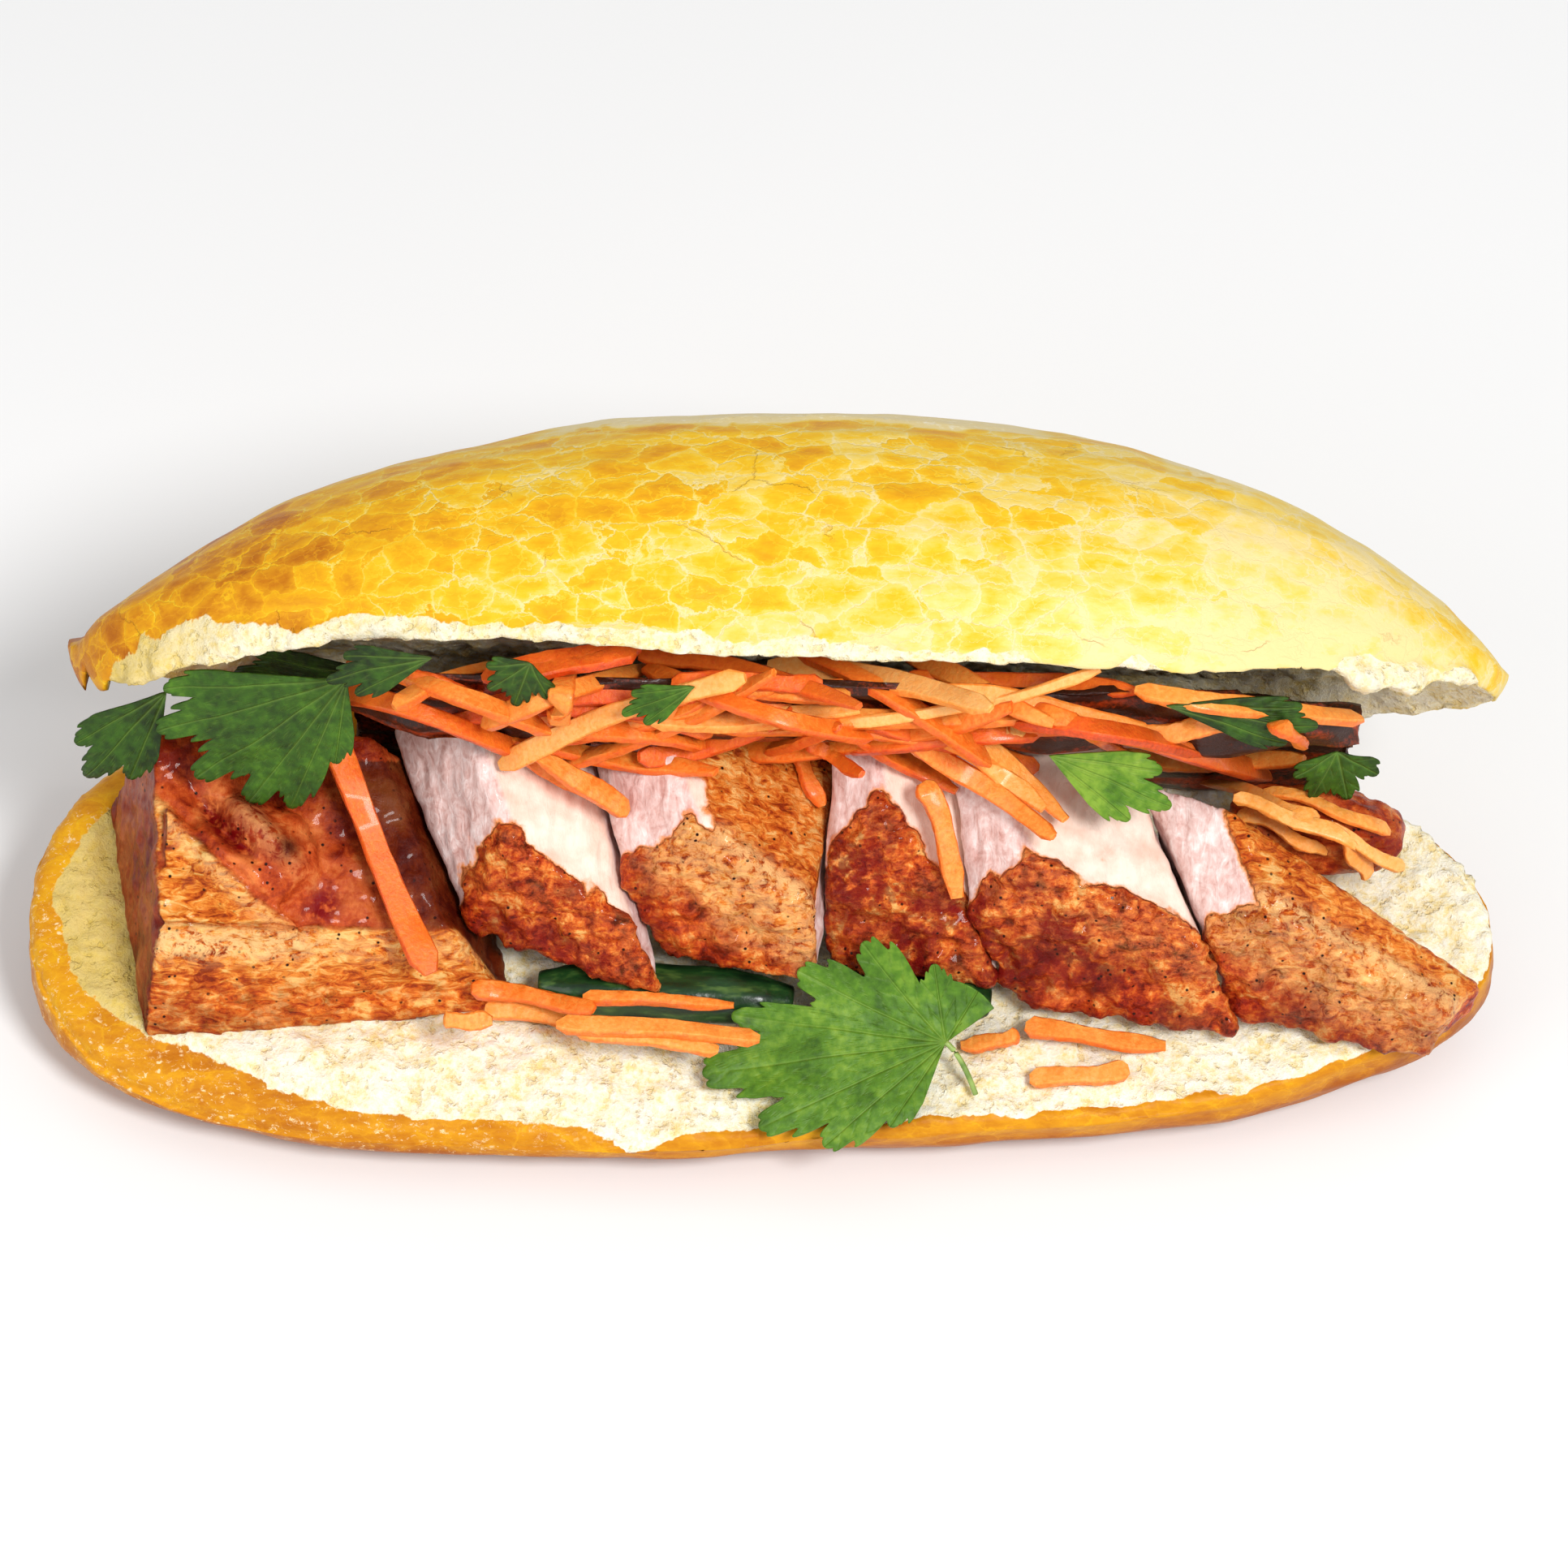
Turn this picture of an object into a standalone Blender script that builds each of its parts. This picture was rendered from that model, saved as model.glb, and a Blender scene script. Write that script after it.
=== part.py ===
"""Banh mi: a crusty roll, hinged at the back and opened about 68 degrees, filled with slices of
roast meat, cucumber, shredded carrot and coriander.

Sizes below are in millimetres and degrees; MM turns them into Blender's metres. World axes: +X
along the roll, +Y towards its hinge, +Z up, origin under the middle of the whole. Each half of the
roll has a seat, an empty on the hinge line whose local axes are x along the hinge, -y out over
the cut face and z away from the lower crumb (into the crust of the upper half). A place written
(x, s, h) is read in a seat: s is the distance out from the hinge and h the height over the cut.
"""

import math

import bmesh
import bpy
from mathutils import Matrix, Vector, noise

MM = 0.001

# The roll
ROLL_LEFT = -118.8
ROLL_RIGHT = 116.6
ROLL_HALF_WIDTH = 41.0
ROLL_MIDDLE_Y = -1.5
HINGE_Y = 34.0
HINGE_Z = 30.0
LOWER_TILT = 12.5
UPPER_TILT = 55.3
LOWER_TIP_RISE = 7.0
LOWER_WIDEST_LEFT = 10.0
LOWER_WIDEST_RIGHT = 15.0
LOWER_WIDEST_MIDDLE = 12.5
LOWER_SHOULDER = 58.0
FRONT_TRIM = 0.11
UPPER_LEFT = -112.0
UPPER_RIGHT = 116.6
UPPER_CREST_X = 4.0
UPPER_HEIGHT = 44.0
UPPER_HALF_WIDTH = 40.0
UPPER_MIDDLE_S = 36.5
UPPER_WIDEST_H = 5.0
EAR_HEIGHT = 2.6
EAR_S = 33.0
EAR_LEFT = -40.0
EAR_RIGHT = 66.0

# The filling
CRUMB_GAP = 0.5
PIECE_GAP = 0.9
SLICE_BACK_S = 16.5
PILE_SEAT_H = 35.5
SLICE_EDGE = 1.7
STRIP_THICKNESS = 1.5
LEAF_THICKNESS = 0.7

# Places (x, s, h) of each slice's corners over the lower cut: foot and heel end the cut face at
# the bottom, ridge is where cut face, top and browned front meet, shoulder is the far end of the
# top's front edge, brow is a place far back on the top, toe and tip end the browned front below.
SLICES = {
    "meat_slice_2": dict(foot=(-48, 45.2, 12), heel=(-61, 17, 23), ridge=(-41, 40, 31),
                         shoulder=(-21, 46, 20), brow=(-38, 20, 34), toe=(-45, 47.5, 8),
                         tip=(-16.5, 58.5, 6), floor=9.8),
    "meat_slice_3": dict(foot=(-21.8, 45.5, 21), heel=(-28, 25.8, 27.4), ridge=(-12, 39.2, 33),
                         shoulder=(7.2, 41.4, 22), brow=(-18, 27, 36.8), toe=(-16.2, 50, 9.5),
                         tip=(6.8, 55.6, 6), floor=9.8),
    "meat_slice_4": dict(foot=(8.7, 37, 21.3), heel=(9, 26, 27), ridge=(17, 35.3, 30),
                         shoulder=(28.2, 42, 22), brow=(17.2, 27, 32.6), toe=(9.5, 49, 9),
                         tip=(35.9, 55, 5), floor=8),
    "meat_slice_5": dict(foot=(30.9, 44, 20.4), heel=(28.7, 30.4, 28.5), ridge=(41, 43.5, 31),
                         shoulder=(68, 48.4, 22), brow=(61.3, 32.5, 26), toe=(37, 51, 9),
                         tip=(67.5, 57.5, 4), floor=4),
    "meat_slice_6": dict(foot=(69, 49.5, 20.5), heel=(61.8, 34, 25.7), ridge=(79.7, 48.4, 26),
                         shoulder=(109.7, 50.6, 12), brow=(83.6, 35, 26), toe=(73.5, 54, 8),
                         tip=(103, 60.5, 2), floor=2.5),
}
LAST_SLICE_BACK = ((75.5, 33.5, 28), (110.5, 49.5, 12))
LAST_SLICE_END = ((110.5, 53, 12), (1, -1, 0.05))
LAST_SLICE_UNDER = ((72, 54, 5.5), (-0.12, 0, -1))

# The end piece: the planes that trim its block, each given by three places, and the curled-over
# lobe and flap of skin on its top
END_PIECE_INSIDE = (-75, 40, 10)
END_PIECE_CORNERS = ((-106, 63, CRUMB_GAP), (-36, 19.5, 30))
END_PIECE_PLANES = (
    ((-93, 51, 19.5), (-46, 51, 14), (-60, 27, 23)),
    ((-97, 61.5, 1), (-46, 55.5, 1), (-93, 51, 19.5)),
    ((-98.5, 61.5, 1), (-95, 51, 19.5), (-103.5, 27, 6)),
)
CURL_MIDDLE = (-82, 39, 20.5)
CURL_RADII = (11.5, 9.5, 7.5)
FLAP_CORNERS = ((-94.8, 52, 14), (-73, 33, 28))
FLAP_EDGE = ((-93.8, 35.5, 28), (-73, 51, 20))
FLAP_FRONT, FLAP_BACK = (-93.5, 52.5, 17), (-73, 47, 10)
FLAP_INSIDE_FRONT, FLAP_INSIDE_BACK = (-90, 48, 10), (-93, 50, 16)

# Scraps of meat: middle, radii and turn
LUMPS = {
    "meat_back_right": ((86.5, 25.5, 14.5), (15.5, 7, 9), -6),
    "meat_back_left": ((-79.5, 12, 15), (9, 3.6, 10), 0),
}

# Wedges of cucumber: both ends, width and height
CUCUMBERS = {
    "cucumber_left": ((-36, 52.6, 4.5), (4.5, 54, 4.5), 9.4, 7.4),
    "cucumber_right": ((9.5, 51, 4.2), (35.5, 53, 4), 9, 6.6),
}

# The heap of carrot: its ends, its gap to the upper cut face, and how high its top and how far
# out its toe lie where it is full
HEAP_LEFT = -68.0
HEAP_RIGHT = 93.0
HEAP_GAP = 1.3
HEAP_TOP = 59.0
HEAP_END_DROP = 21.5
HEAP_TOE = 28.0
HEAP_TOE_DRAW = 5.5
HEAP_BACK_S = SLICE_BACK_S - 1.4
HEAP_SEAT_H = PILE_SEAT_H + 0.9
HEAP_FOOT_H = 1.2

# Bundles of shreds: both ends, width, height and rise between the ends
BUNDLES = {
    "carrot_bundle_front": ((-51, 59.6, 2.2), (1.5, 61, 2.2), 6.4, 3.4, 0.0),
    "carrot_bundle_middle": ((14, 31.8, 42), (45.4, 41.4, 35.2), 8, 3.6, 1.0),
    "carrot_shreds_right": ((70, 33, 33.6), (97, 33, 20.5), 7, 3.6, 1.5),
}

# Loose strips of carrot: a name, the places its middle line passes through, and its width
STRIPS = {
    "carrot_strip_left": (((-70, 22.5, 37), (-62.5, 37.5, 25.5), (-52.5, 57.5, 17.5)), 4.2),
    "carrot_strip_on_slice": (((-36.6, 31.2, 40.6), (-30, 33, 36.8), (-22.2, 35.8, 31.8)), 3.4),
    "carrot_strip_hanging": (((23.6, 31, 35.6), (27, 37, 31.5), (29.4, 45.6, 24.8)), 3.6),
    "carrot_strip_upturned": (((31, 59.4, 1.8), (36, 59, 2), (40, 58.4, 4)), 2.6),
    "carrot_strip_right": (((41.2, 56.8, 4), (52, 58.6, 4), (63.4, 59.4, 2.8)), 3.2),
    "carrot_strip_front": (((42, 64.8, 1.5), (51, 64.4, 1.9), (57.6, 63, 1.5)), 3.0),
}

# Leaves: base of the blade, its tip, the side it faces, its droop and its lobes, each given as
# (angle from the middle, length as a share of the leaf, half width in degrees). A curl lifts
# the side of a leaf that leans against its neighbours.
FRONT = ((54, 0.42, 15), (38, 0.66, 14), (22, 0.84, 12), (4, 1.0, 13), (-10, 0.88, 8),
         (-27, 0.62, 14), (-50, 0.46, 18), (-84, 0.3, 24), (-126, 0.22, 26))
FAN = ((-34, 0.84, 10), (-19, 0.95, 12), (0, 0.96, 12), (16, 0.9, 12), (28, 0.84, 10),
       (40, 0.5, 14))
NARROW = ((-16, 0.8, 14), (0, 1.0, 12), (16, 0.84, 14))
SLIM = ((-9, 0.85, 9), (0, 1.0, 9), (9, 0.85, 9))
ROUND = ((-56, 0.74, 24), (-22, 0.95, 20), (10, 1.0, 20), (48, 0.8, 24))
LEAVES = {
    "coriander_front": dict(base=(28.5, 61.8, 7.0), tip=(-10, 64.5, 5.6), face=(0.02, 0.2, 0.97),
                            lobes=FRONT, droop=-0.02, curl=0.036, points=72),
    "coriander_left": dict(base=(-65.6, 26, 54), tip=(-91, 33.2, 31.8), face=(-0.1, 0.95, 0.3),
                           lobes=FAN, droop=-0.04, points=44),
    "coriander_left_low": dict(base=(-94, 24.5, 46.2), tip=(-107.8, 30.2, 27.8),
                               face=(-0.1, 0.95, 0.3), lobes=NARROW, droop=-0.04, points=24),
    "coriander_right": dict(base=(88.5, 23, 34.4), tip=(89.2, 26.2, 23.8), face=(0.1, 0.95, 0.3),
                            lobes=ROUND, droop=-0.04, points=32),
    "coriander_under_bread_left": dict(base=(-52, 29, 66.2), tip=(-68, 29.8, 61),
                                       face=(0, 0.93, 0.36), lobes=NARROW, points=24),
    "coriander_centre_left": dict(base=(-37, 29.4, 66), tip=(-41, 31.6, 58), points=24,
                                  face=(0, 0.86, 0.5), lobes=ROUND),
    "coriander_centre": dict(base=(-12, 30.4, 62), tip=(-23, 32.6, 57), face=(0, 0.86, 0.5),
                             lobes=NARROW, points=24),
    "coriander_under_strips": dict(base=(42.7, 32.5, 47.5), tip=(62, 36, 39.2), points=30,
                                   face=(0, 0.82, 0.58), lobes=NARROW),
    "coriander_under_bread_right": dict(base=(60, 30.6, 60.4), tip=(84, 28.4, 51.2), points=20,
                                        face=(0, 0.9, 0.43), lobes=SLIM),
}

COLOURS = {
    "bread": ((0.86, 0.56, 0.16), 0.55),
    "meat": ((0.72, 0.40, 0.24), 0.35),
    "cucumber": ((0.10, 0.22, 0.07), 0.3),
    "carrot": ((0.93, 0.38, 0.09), 0.4),
    "coriander": ((0.16, 0.36, 0.08), 0.45),
}


def clear_scene():
    for thing in list(bpy.data.objects):
        bpy.data.objects.remove(thing)


def material(name):
    """The Principled material of that name, made the first time that it is asked for."""
    made = bpy.data.materials.get(name)
    if made is None:
        colour, roughness = COLOURS[name]
        made = bpy.data.materials.new(name)
        made.use_nodes = True
        shader = made.node_tree.nodes["Principled BSDF"]
        shader.inputs["Base Color"].default_value = (*colour, 1)
        shader.inputs["Roughness"].default_value = roughness
        shader.inputs["Metallic"].default_value = 0.0
    return made


def seat(name, tilt):
    """An empty on the hinge line, turned so that its -y runs out over a cut face."""
    empty = bpy.data.objects.new(name, None)
    empty.location = (0, HINGE_Y * MM, HINGE_Z * MM)
    empty.rotation_euler = (math.radians(tilt), 0, 0)
    bpy.context.scene.collection.objects.link(empty)
    return empty


def place(x, s, h):
    """A place over a cut face, in its seat's own axes."""
    return Vector((x, -s, h))


def add_object(name, bm, surface, parent=None, smooth_angle=35):
    """Turns a mesh in millimetres into a named object in metres, with its faces pointing out."""
    bmesh.ops.recalc_face_normals(bm, faces=bm.faces)
    bmesh.ops.scale(bm, vec=(MM, MM, MM), verts=bm.verts)
    mesh = bpy.data.meshes.new(name)
    bm.to_mesh(mesh)
    bm.free()
    mesh.shade_smooth()
    mesh.set_sharp_from_angle(angle=math.radians(smooth_angle))
    mesh.materials.append(material(surface))
    made = bpy.data.objects.new(name, mesh)
    made.parent = parent
    bpy.context.scene.collection.objects.link(made)
    return made


def loft(rings):
    """A closed mesh through rings of equally many points, with a flat cap at each end."""
    bm = bmesh.new()
    loops = [[bm.verts.new(point) for point in ring] for ring in rings]
    for one, other in zip(loops, loops[1:]):
        for i in range(len(one)):
            j = (i + 1) % len(one)
            bm.faces.new((one[i], one[j], other[j], other[i]))
    bm.faces.new(reversed(loops[0]))
    bm.faces.new(loops[-1])
    return bm


def keep_below(bm, point, outward):
    """Cuts a closed mesh by a plane, keeps what lies behind it and closes the cut."""
    geometry = list(bm.verts) + list(bm.edges) + list(bm.faces)
    cut = bmesh.ops.bisect_plane(bm, geom=geometry, dist=1e-4, plane_co=point, plane_no=outward,
                                 clear_outer=True)
    edges = [e for e in cut["geom_cut"] if isinstance(e, bmesh.types.BMEdge)]
    if edges:
        bmesh.ops.edgenet_fill(bm, edges=edges)


def wobble(point, wavelength, depth, seed):
    """A smooth uneven offset, between about -depth and depth."""
    shift = Vector((seed * 7.3, seed * 3.1, seed * 5.7))
    return depth * noise.noise(Vector(point) / wavelength + shift)


def rounded(angle, wide, high, low, power):
    """A point of a superellipse about (0, 0) whose upper and lower halves differ in height."""
    c, s = math.cos(angle), math.sin(angle)
    out = math.copysign(abs(c) ** (2 / power), c) * wide
    up = math.copysign(abs(s) ** (2 / power), s) * (high if s > 0 else low)
    return out, up


def taper(x, left, right, middle, power, root):
    """1 at the middle of the roll, falling to 0 at its left or right end."""
    u = (x - middle) / ((right if x > middle else left) - middle)
    return max(1e-4, 1 - min(1.0, u) ** power) ** (1 / root)


def smooth_step(value, low, high):
    """0 below low, 1 above high and an even S between them."""
    t = max(0.0, min(1.0, (value - low) / (high - low)))
    return t * t * (3 - 2 * t)


def stations(left, right, count):
    """Places along the roll, closer together towards its ends."""
    middle, half = (left + right) / 2, (right - left) / 2
    return [middle - half * math.cos(math.pi * (i + 0.16) / (count - 0.68)) for i in range(count)]


def lower_half_mesh():
    """The lower half: a loaf that lies on the ground, cut off by the lower cut plane."""
    rings = []
    for x in stations(ROLL_LEFT, ROLL_RIGHT, 30):
        power = 4.6 if x < 0 else 2.3
        size = taper(x, ROLL_LEFT, ROLL_RIGHT, 0, power, 2.1)
        end = abs(x) / abs(ROLL_LEFT)
        side = LOWER_WIDEST_LEFT if x < 0 else LOWER_WIDEST_RIGHT
        widest = LOWER_WIDEST_MIDDLE + (side - LOWER_WIDEST_MIDDLE) * end**2
        ground = LOWER_TIP_RISE * end**5
        ring = []
        for i in range(26):
            angle = 2 * math.pi * i / 26
            y, z = rounded(angle, ROLL_HALF_WIDTH * size, LOWER_SHOULDER * size**0.6,
                           (widest - ground + 2.2) * size**0.35, 2.35)
            if y < 0:
                y *= 1 - FRONT_TRIM * smooth_step(x, -25, 25)
            point = Vector((x, ROLL_MIDDLE_Y + y, widest + z))
            point.y += wobble(point, 30, 1.3, 1)
            point.z = max(0.0, point.z + wobble(point, 26, 0.8, 2))
            ring.append(point)
        rings.append(ring)
    bm = loft(rings)
    tilt = math.radians(LOWER_TILT)
    keep_below(bm, (0, HINGE_Y, HINGE_Z), (0, -math.sin(tilt), math.cos(tilt)))
    return bm


def upper_half_mesh():
    """The upper half, in its seat's axes: a domed loaf cut off at h = 0, with a torn score."""
    rings = []
    for x in stations(UPPER_LEFT, UPPER_RIGHT, 30):
        left = x < UPPER_CREST_X
        rise = taper(x, UPPER_LEFT, UPPER_RIGHT, UPPER_CREST_X, 2.0 if left else 2.2,
                     1 / (0.74 if left else 0.6))
        width = taper(x, UPPER_LEFT, UPPER_RIGHT, UPPER_CREST_X, 2.4, 1.9)
        ring = []
        for i in range(30):
            angle = 2 * math.pi * (i + 0.5) / 30
            s, h = rounded(angle, UPPER_HALF_WIDTH * width,
                           max(0.5, UPPER_HEIGHT * rise - UPPER_WIDEST_H),
                           max(0.5, 30 * rise), 2.15)
            point = place(x, UPPER_MIDDLE_S + s, UPPER_WIDEST_H + h)
            point.y += wobble(point, 32, 1.2, 3)
            point.z += wobble(point, 28, 0.9, 4)
            if h > 0:
                point.z += ear(x, -point.y)
            ring.append(point)
        rings.append(ring)
    bm = loft(rings)
    keep_below(bm, (0, 0, 0), (0, 0, -1))
    return bm


def ear(x, s):
    """Height of the torn lip along the score on the dome, and of the shallow groove behind it."""
    along = max(0.0, min(1.0, (x - EAR_LEFT) / 18, (EAR_RIGHT - x) / 5))
    behind = EAR_S - s
    lip = math.exp(-((behind / 3.2) ** 2)) * EAR_HEIGHT
    groove = math.exp(-(((behind - 9) / 5.5) ** 2)) * EAR_HEIGHT * 0.9
    return along * (lip - groove)


def make_bread(upper_seat):
    """Both halves joined at the hinge into one solid that rests on a flat spot."""
    lower = add_object("bread", lower_half_mesh(), "bread")
    upper = add_object("upper_half", upper_half_mesh(), "bread", upper_seat)
    bpy.context.view_layer.update()
    joining = lower.modifiers.new("hinge", "BOOLEAN")
    joining.operation = "UNION"
    joining.solver = "EXACT"
    joining.object = upper
    evaluated = lower.evaluated_get(bpy.context.evaluated_depsgraph_get())
    joined = bpy.data.meshes.new_from_object(evaluated)
    lower.modifiers.remove(joining)
    lower.data = joined
    bpy.data.objects.remove(upper)
    return lower


def block(low, high):
    """A box between two corners, as a mesh to be trimmed by planes."""
    bm = bmesh.new()
    bmesh.ops.create_cube(bm, size=1)
    size, middle = high - low, (high + low) / 2
    for vert in bm.verts:
        vert.co = Vector(a * b for a, b in zip(vert.co, size)) + middle
    return bm


def plane_through(a, b, c, inside):
    """Point and outward normal of the plane through three places, facing away from inside."""
    a, b, c = (place(*p) for p in (a, b, c))
    normal = (b - a).cross(c - a).normalized()
    if normal.dot(place(*inside) - a) > 0:
        normal = -normal
    return a, normal


def slice_middle(corners):
    return tuple(sum(corners[k][i] for k in ("ridge", "toe", "tip", "brow")) / 4 for i in range(3))


def under_plane(corners):
    """The face under a slice's cut face, which rests against the slice before it."""
    return plane_through(corners["foot"], corners["heel"], corners["toe"], slice_middle(corners))


def soften(bm, width, uneven, seed):
    """Rounds every edge of a block and makes its faces a little uneven."""
    bmesh.ops.bevel(bm, geom=list(bm.edges), offset=width, segments=2, profile=0.6,
                    affect="EDGES", clamp_overlap=True)
    bmesh.ops.remove_doubles(bm, verts=bm.verts, dist=0.02)
    for vert in bm.verts:
        vert.co += Vector(wobble(vert.co, 9, uneven, seed + axis) for axis in range(3))


def make_slice(name, corners, following, parent, seed):
    """A slice of meat: a block trimmed by its cut face, top, browned front and neighbours."""
    inside = slice_middle(corners)
    corners_of_block = ((-110, 62, corners["floor"]), (125, SLICE_BACK_S, PILE_SEAT_H))
    planes = [
        plane_through(corners["foot"], corners["heel"], corners["ridge"], inside),
        plane_through(corners["ridge"], corners["shoulder"], corners["brow"], inside),
        plane_through(corners["ridge"], corners["toe"], corners["tip"], inside),
        under_plane(corners),
    ]
    if following:
        point, normal = under_plane(following)
        planes.append((point + normal * PIECE_GAP, -normal))
    else:
        one, other = (place(*p) for p in LAST_SLICE_BACK)
        along = other - one
        planes.append((one, Vector((-along.y, along.x, 0)).normalized()))
        for at, facing in (LAST_SLICE_END, LAST_SLICE_UNDER):
            planes.append((place(*at), Vector(facing).normalized()))
    bm = trimmed(corners_of_block, planes)
    soften(bm, SLICE_EDGE, 0.35, seed)
    add_object(name, bm, "meat", parent)


def ball(middle, radii, detail=2):
    """A rounded lump."""
    bm = bmesh.new()
    bmesh.ops.create_icosphere(bm, subdivisions=detail, radius=1)
    for vert in bm.verts:
        vert.co = middle + Vector(a * b for a, b in zip(vert.co, radii))
    return bm


def trimmed(corners, planes):
    """A block between two corners, cut by planes that are each a point and an outward normal."""
    bm = block(*(place(*corner) for corner in corners))
    for at, facing in planes:
        keep_below(bm, at, facing)
    return bm


def make_end_piece(parent):
    """The long end piece at the left: thick skin at the front, its end curled over the top."""
    point, normal = under_plane(SLICES["meat_slice_2"])
    planes = [plane_through(*three, END_PIECE_INSIDE) for three in END_PIECE_PLANES]
    bm = trimmed(END_PIECE_CORNERS, [*planes, (point + normal * PIECE_GAP, -normal)])
    soften(bm, SLICE_EDGE, 0.4, 31)
    body = add_object("meat_end_piece", bm, "meat", parent)
    curl = ball(place(*CURL_MIDDLE), Vector(CURL_RADII))
    planes = [plane_through(FLAP_FRONT, *FLAP_EDGE, FLAP_INSIDE_FRONT),
              plane_through(*FLAP_EDGE, FLAP_BACK, FLAP_INSIDE_BACK)]
    flap = trimmed(FLAP_CORNERS, planes)
    soften(flap, SLICE_EDGE * 0.6, 0.2, 33)
    merge(body, add_object("curl", curl, "meat", parent), add_object("flap", flap, "meat", parent))


def merge(body, *others):
    """Joins solids that overlap into body, as one solid in the same axes."""
    for other in others:
        bpy.context.view_layer.update()
        joining = body.modifiers.new("merge", "BOOLEAN")
        joining.operation = "UNION"
        joining.solver = "EXACT"
        joining.object = other
        evaluated = body.evaluated_get(bpy.context.evaluated_depsgraph_get())
        joined = bpy.data.meshes.new_from_object(evaluated)
        body.modifiers.remove(joining)
        body.data = joined
        bpy.data.objects.remove(other)


def make_lump(name, middle, radii, turn, parent, seed):
    """A rounded scrap of roast meat that lies behind or between the slices."""
    bm = ball(Vector(), Vector(radii))
    bmesh.ops.rotate(bm, verts=bm.verts, matrix=Matrix.Rotation(math.radians(turn), 3, "Z"))
    bmesh.ops.translate(bm, verts=bm.verts, vec=place(*middle))
    for vert in bm.verts:
        vert.co += Vector(wobble(vert.co, 8, 0.9, seed + axis) for axis in range(3))
    add_object(name, bm, "meat", parent)


def make_cucumber(name, start, end, width, height, parent):
    """A long wedge of cucumber with its skin outside, rounded at both ends."""
    start, end = place(*start), place(*end)
    along = end - start
    across = Vector((-along.y, along.x, 0)).normalized()
    rings = []
    for i in range(9):
        t = i / 8
        size = max(0.25, 1 - abs(2 * t - 1) ** 5) ** 0.5
        middle = start + along * t
        ring = []
        for j in range(10):
            out, up = rounded(2 * math.pi * j / 10, width / 2 * size, height * 0.62 * size,
                              height * 0.38 * size, 2.4)
            ring.append(middle + across * out + Vector((0, 0, up)))
        rings.append(ring)
    add_object(name, loft(rings), "cucumber", parent)


def pile_plane_s(h, gap):
    """How far out the upper cut face is at height h over the lower one, less a gap."""
    opening = math.radians(LOWER_TILT + UPPER_TILT)
    return (gap + h * math.cos(opening)) / math.sin(opening)


def make_carrot_heap(parent):
    """The heap of shredded carrot that props the roll open, behind and on top of the meat."""
    rings = []
    for i in range(24):
        x = HEAP_LEFT + (HEAP_RIGHT - HEAP_LEFT) * i / 23
        end = min(1.0, (x - HEAP_LEFT) / 16, (HEAP_RIGHT - x) / 26)
        full = math.sin(max(0.06, end) * math.pi / 2) ** 0.6
        top = HEAP_TOP - HEAP_END_DROP * (1 - full) + wobble((x, 0, 0), 14, 2.0, 41)
        toe = HEAP_TOE - HEAP_TOE_DRAW * (1 - full) + wobble((x, 9, 0), 11, 1.6, 42)
        back, low = HEAP_BACK_S, HEAP_SEAT_H
        brow = pile_plane_s(top, HEAP_GAP) + 0.4
        foot = pile_plane_s(3.5, HEAP_GAP)
        outline = [
            (foot, 3.5), (foot + 3, HEAP_FOOT_H), (back - 2, HEAP_FOOT_H),
            (back, 4), (back, low - 8), (back, low), (toe - 6, low), (toe, low + 0.6),
            (toe + 1, low + 5 * full), ((toe + brow) / 2 + 1.6, (low + top) / 2 + 2),
            (brow + 2.2, top - 2.5), (brow, top),
            (pile_plane_s(top * 0.62, HEAP_GAP), top * 0.62),
            (pile_plane_s(top * 0.3, HEAP_GAP), top * 0.3),
        ]
        rings.append([place(x, s, h) for s, h in outline])
    add_object("carrot_heap", loft(rings), "carrot", parent)


def make_bundle(name, start, end, width, height, rise, parent, seed):
    """A flat bundle of carrot shreds that tapers to loose ends."""
    start, end = place(*start), place(*end)
    along = end - start
    across = Vector((-along.y, along.x, 0)).normalized()
    rings = []
    for i in range(12):
        t = i / 11
        size = 0.3 + 0.7 * math.sin(math.pi * min(1, max(0, t))) ** 0.6
        middle = start + along * t + Vector((0, 0, rise * math.sin(math.pi * t)))
        middle += across * wobble((t * 30, 0, 0), 7, 1.1, seed)
        ring = []
        for j in range(8):
            out, up = rounded(2 * math.pi * j / 8, width / 2 * size, height * 0.6 * size,
                              height * 0.4, 2.6)
            point = middle + across * out + Vector((0, 0, up))
            point.z += max(0.0, wobble(point, 4, 0.8, seed + 1)) * (up > 0)
            ring.append(point)
        rings.append(ring)
    add_object(name, loft(rings), "carrot", parent)


def smooth_path(points, count):
    """Points of the quadratic curve that passes through a start, a middle and an end place."""
    a, b, c = (place(*p) for p in points)
    control = b * 2 - (a + c) / 2
    curve = []
    for i in range(count):
        t = i / (count - 1)
        curve.append(a * (1 - t) ** 2 + control * 2 * t * (1 - t) + c * t**2)
    return curve


def make_strip(name, points, width, parent):
    """One strip of shredded carrot, flat in section, narrower towards both ends."""
    path = smooth_path(points, 8)
    rings = []
    for i, middle in enumerate(path):
        along = (path[min(i + 1, 7)] - path[max(i - 1, 0)]).normalized()
        across = along.cross(Vector((0, 0, 1))).normalized()
        up = across.cross(along)
        t = i / 7
        half = width / 2 * (0.45 + 0.55 * math.sin(math.pi * (0.12 + 0.76 * t)))
        thick = STRIP_THICKNESS / 2
        rings.append([
            middle + across * half + up * thick * 0.4,
            middle + across * half * 0.5 + up * thick,
            middle - across * half * 0.6 + up * thick,
            middle - across * half + up * thick * 0.2,
            middle - across * half * 0.7 - up * thick,
            middle + across * half * 0.8 - up * thick,
        ])
    add_object(name, loft(rings), "carrot", parent)


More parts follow.
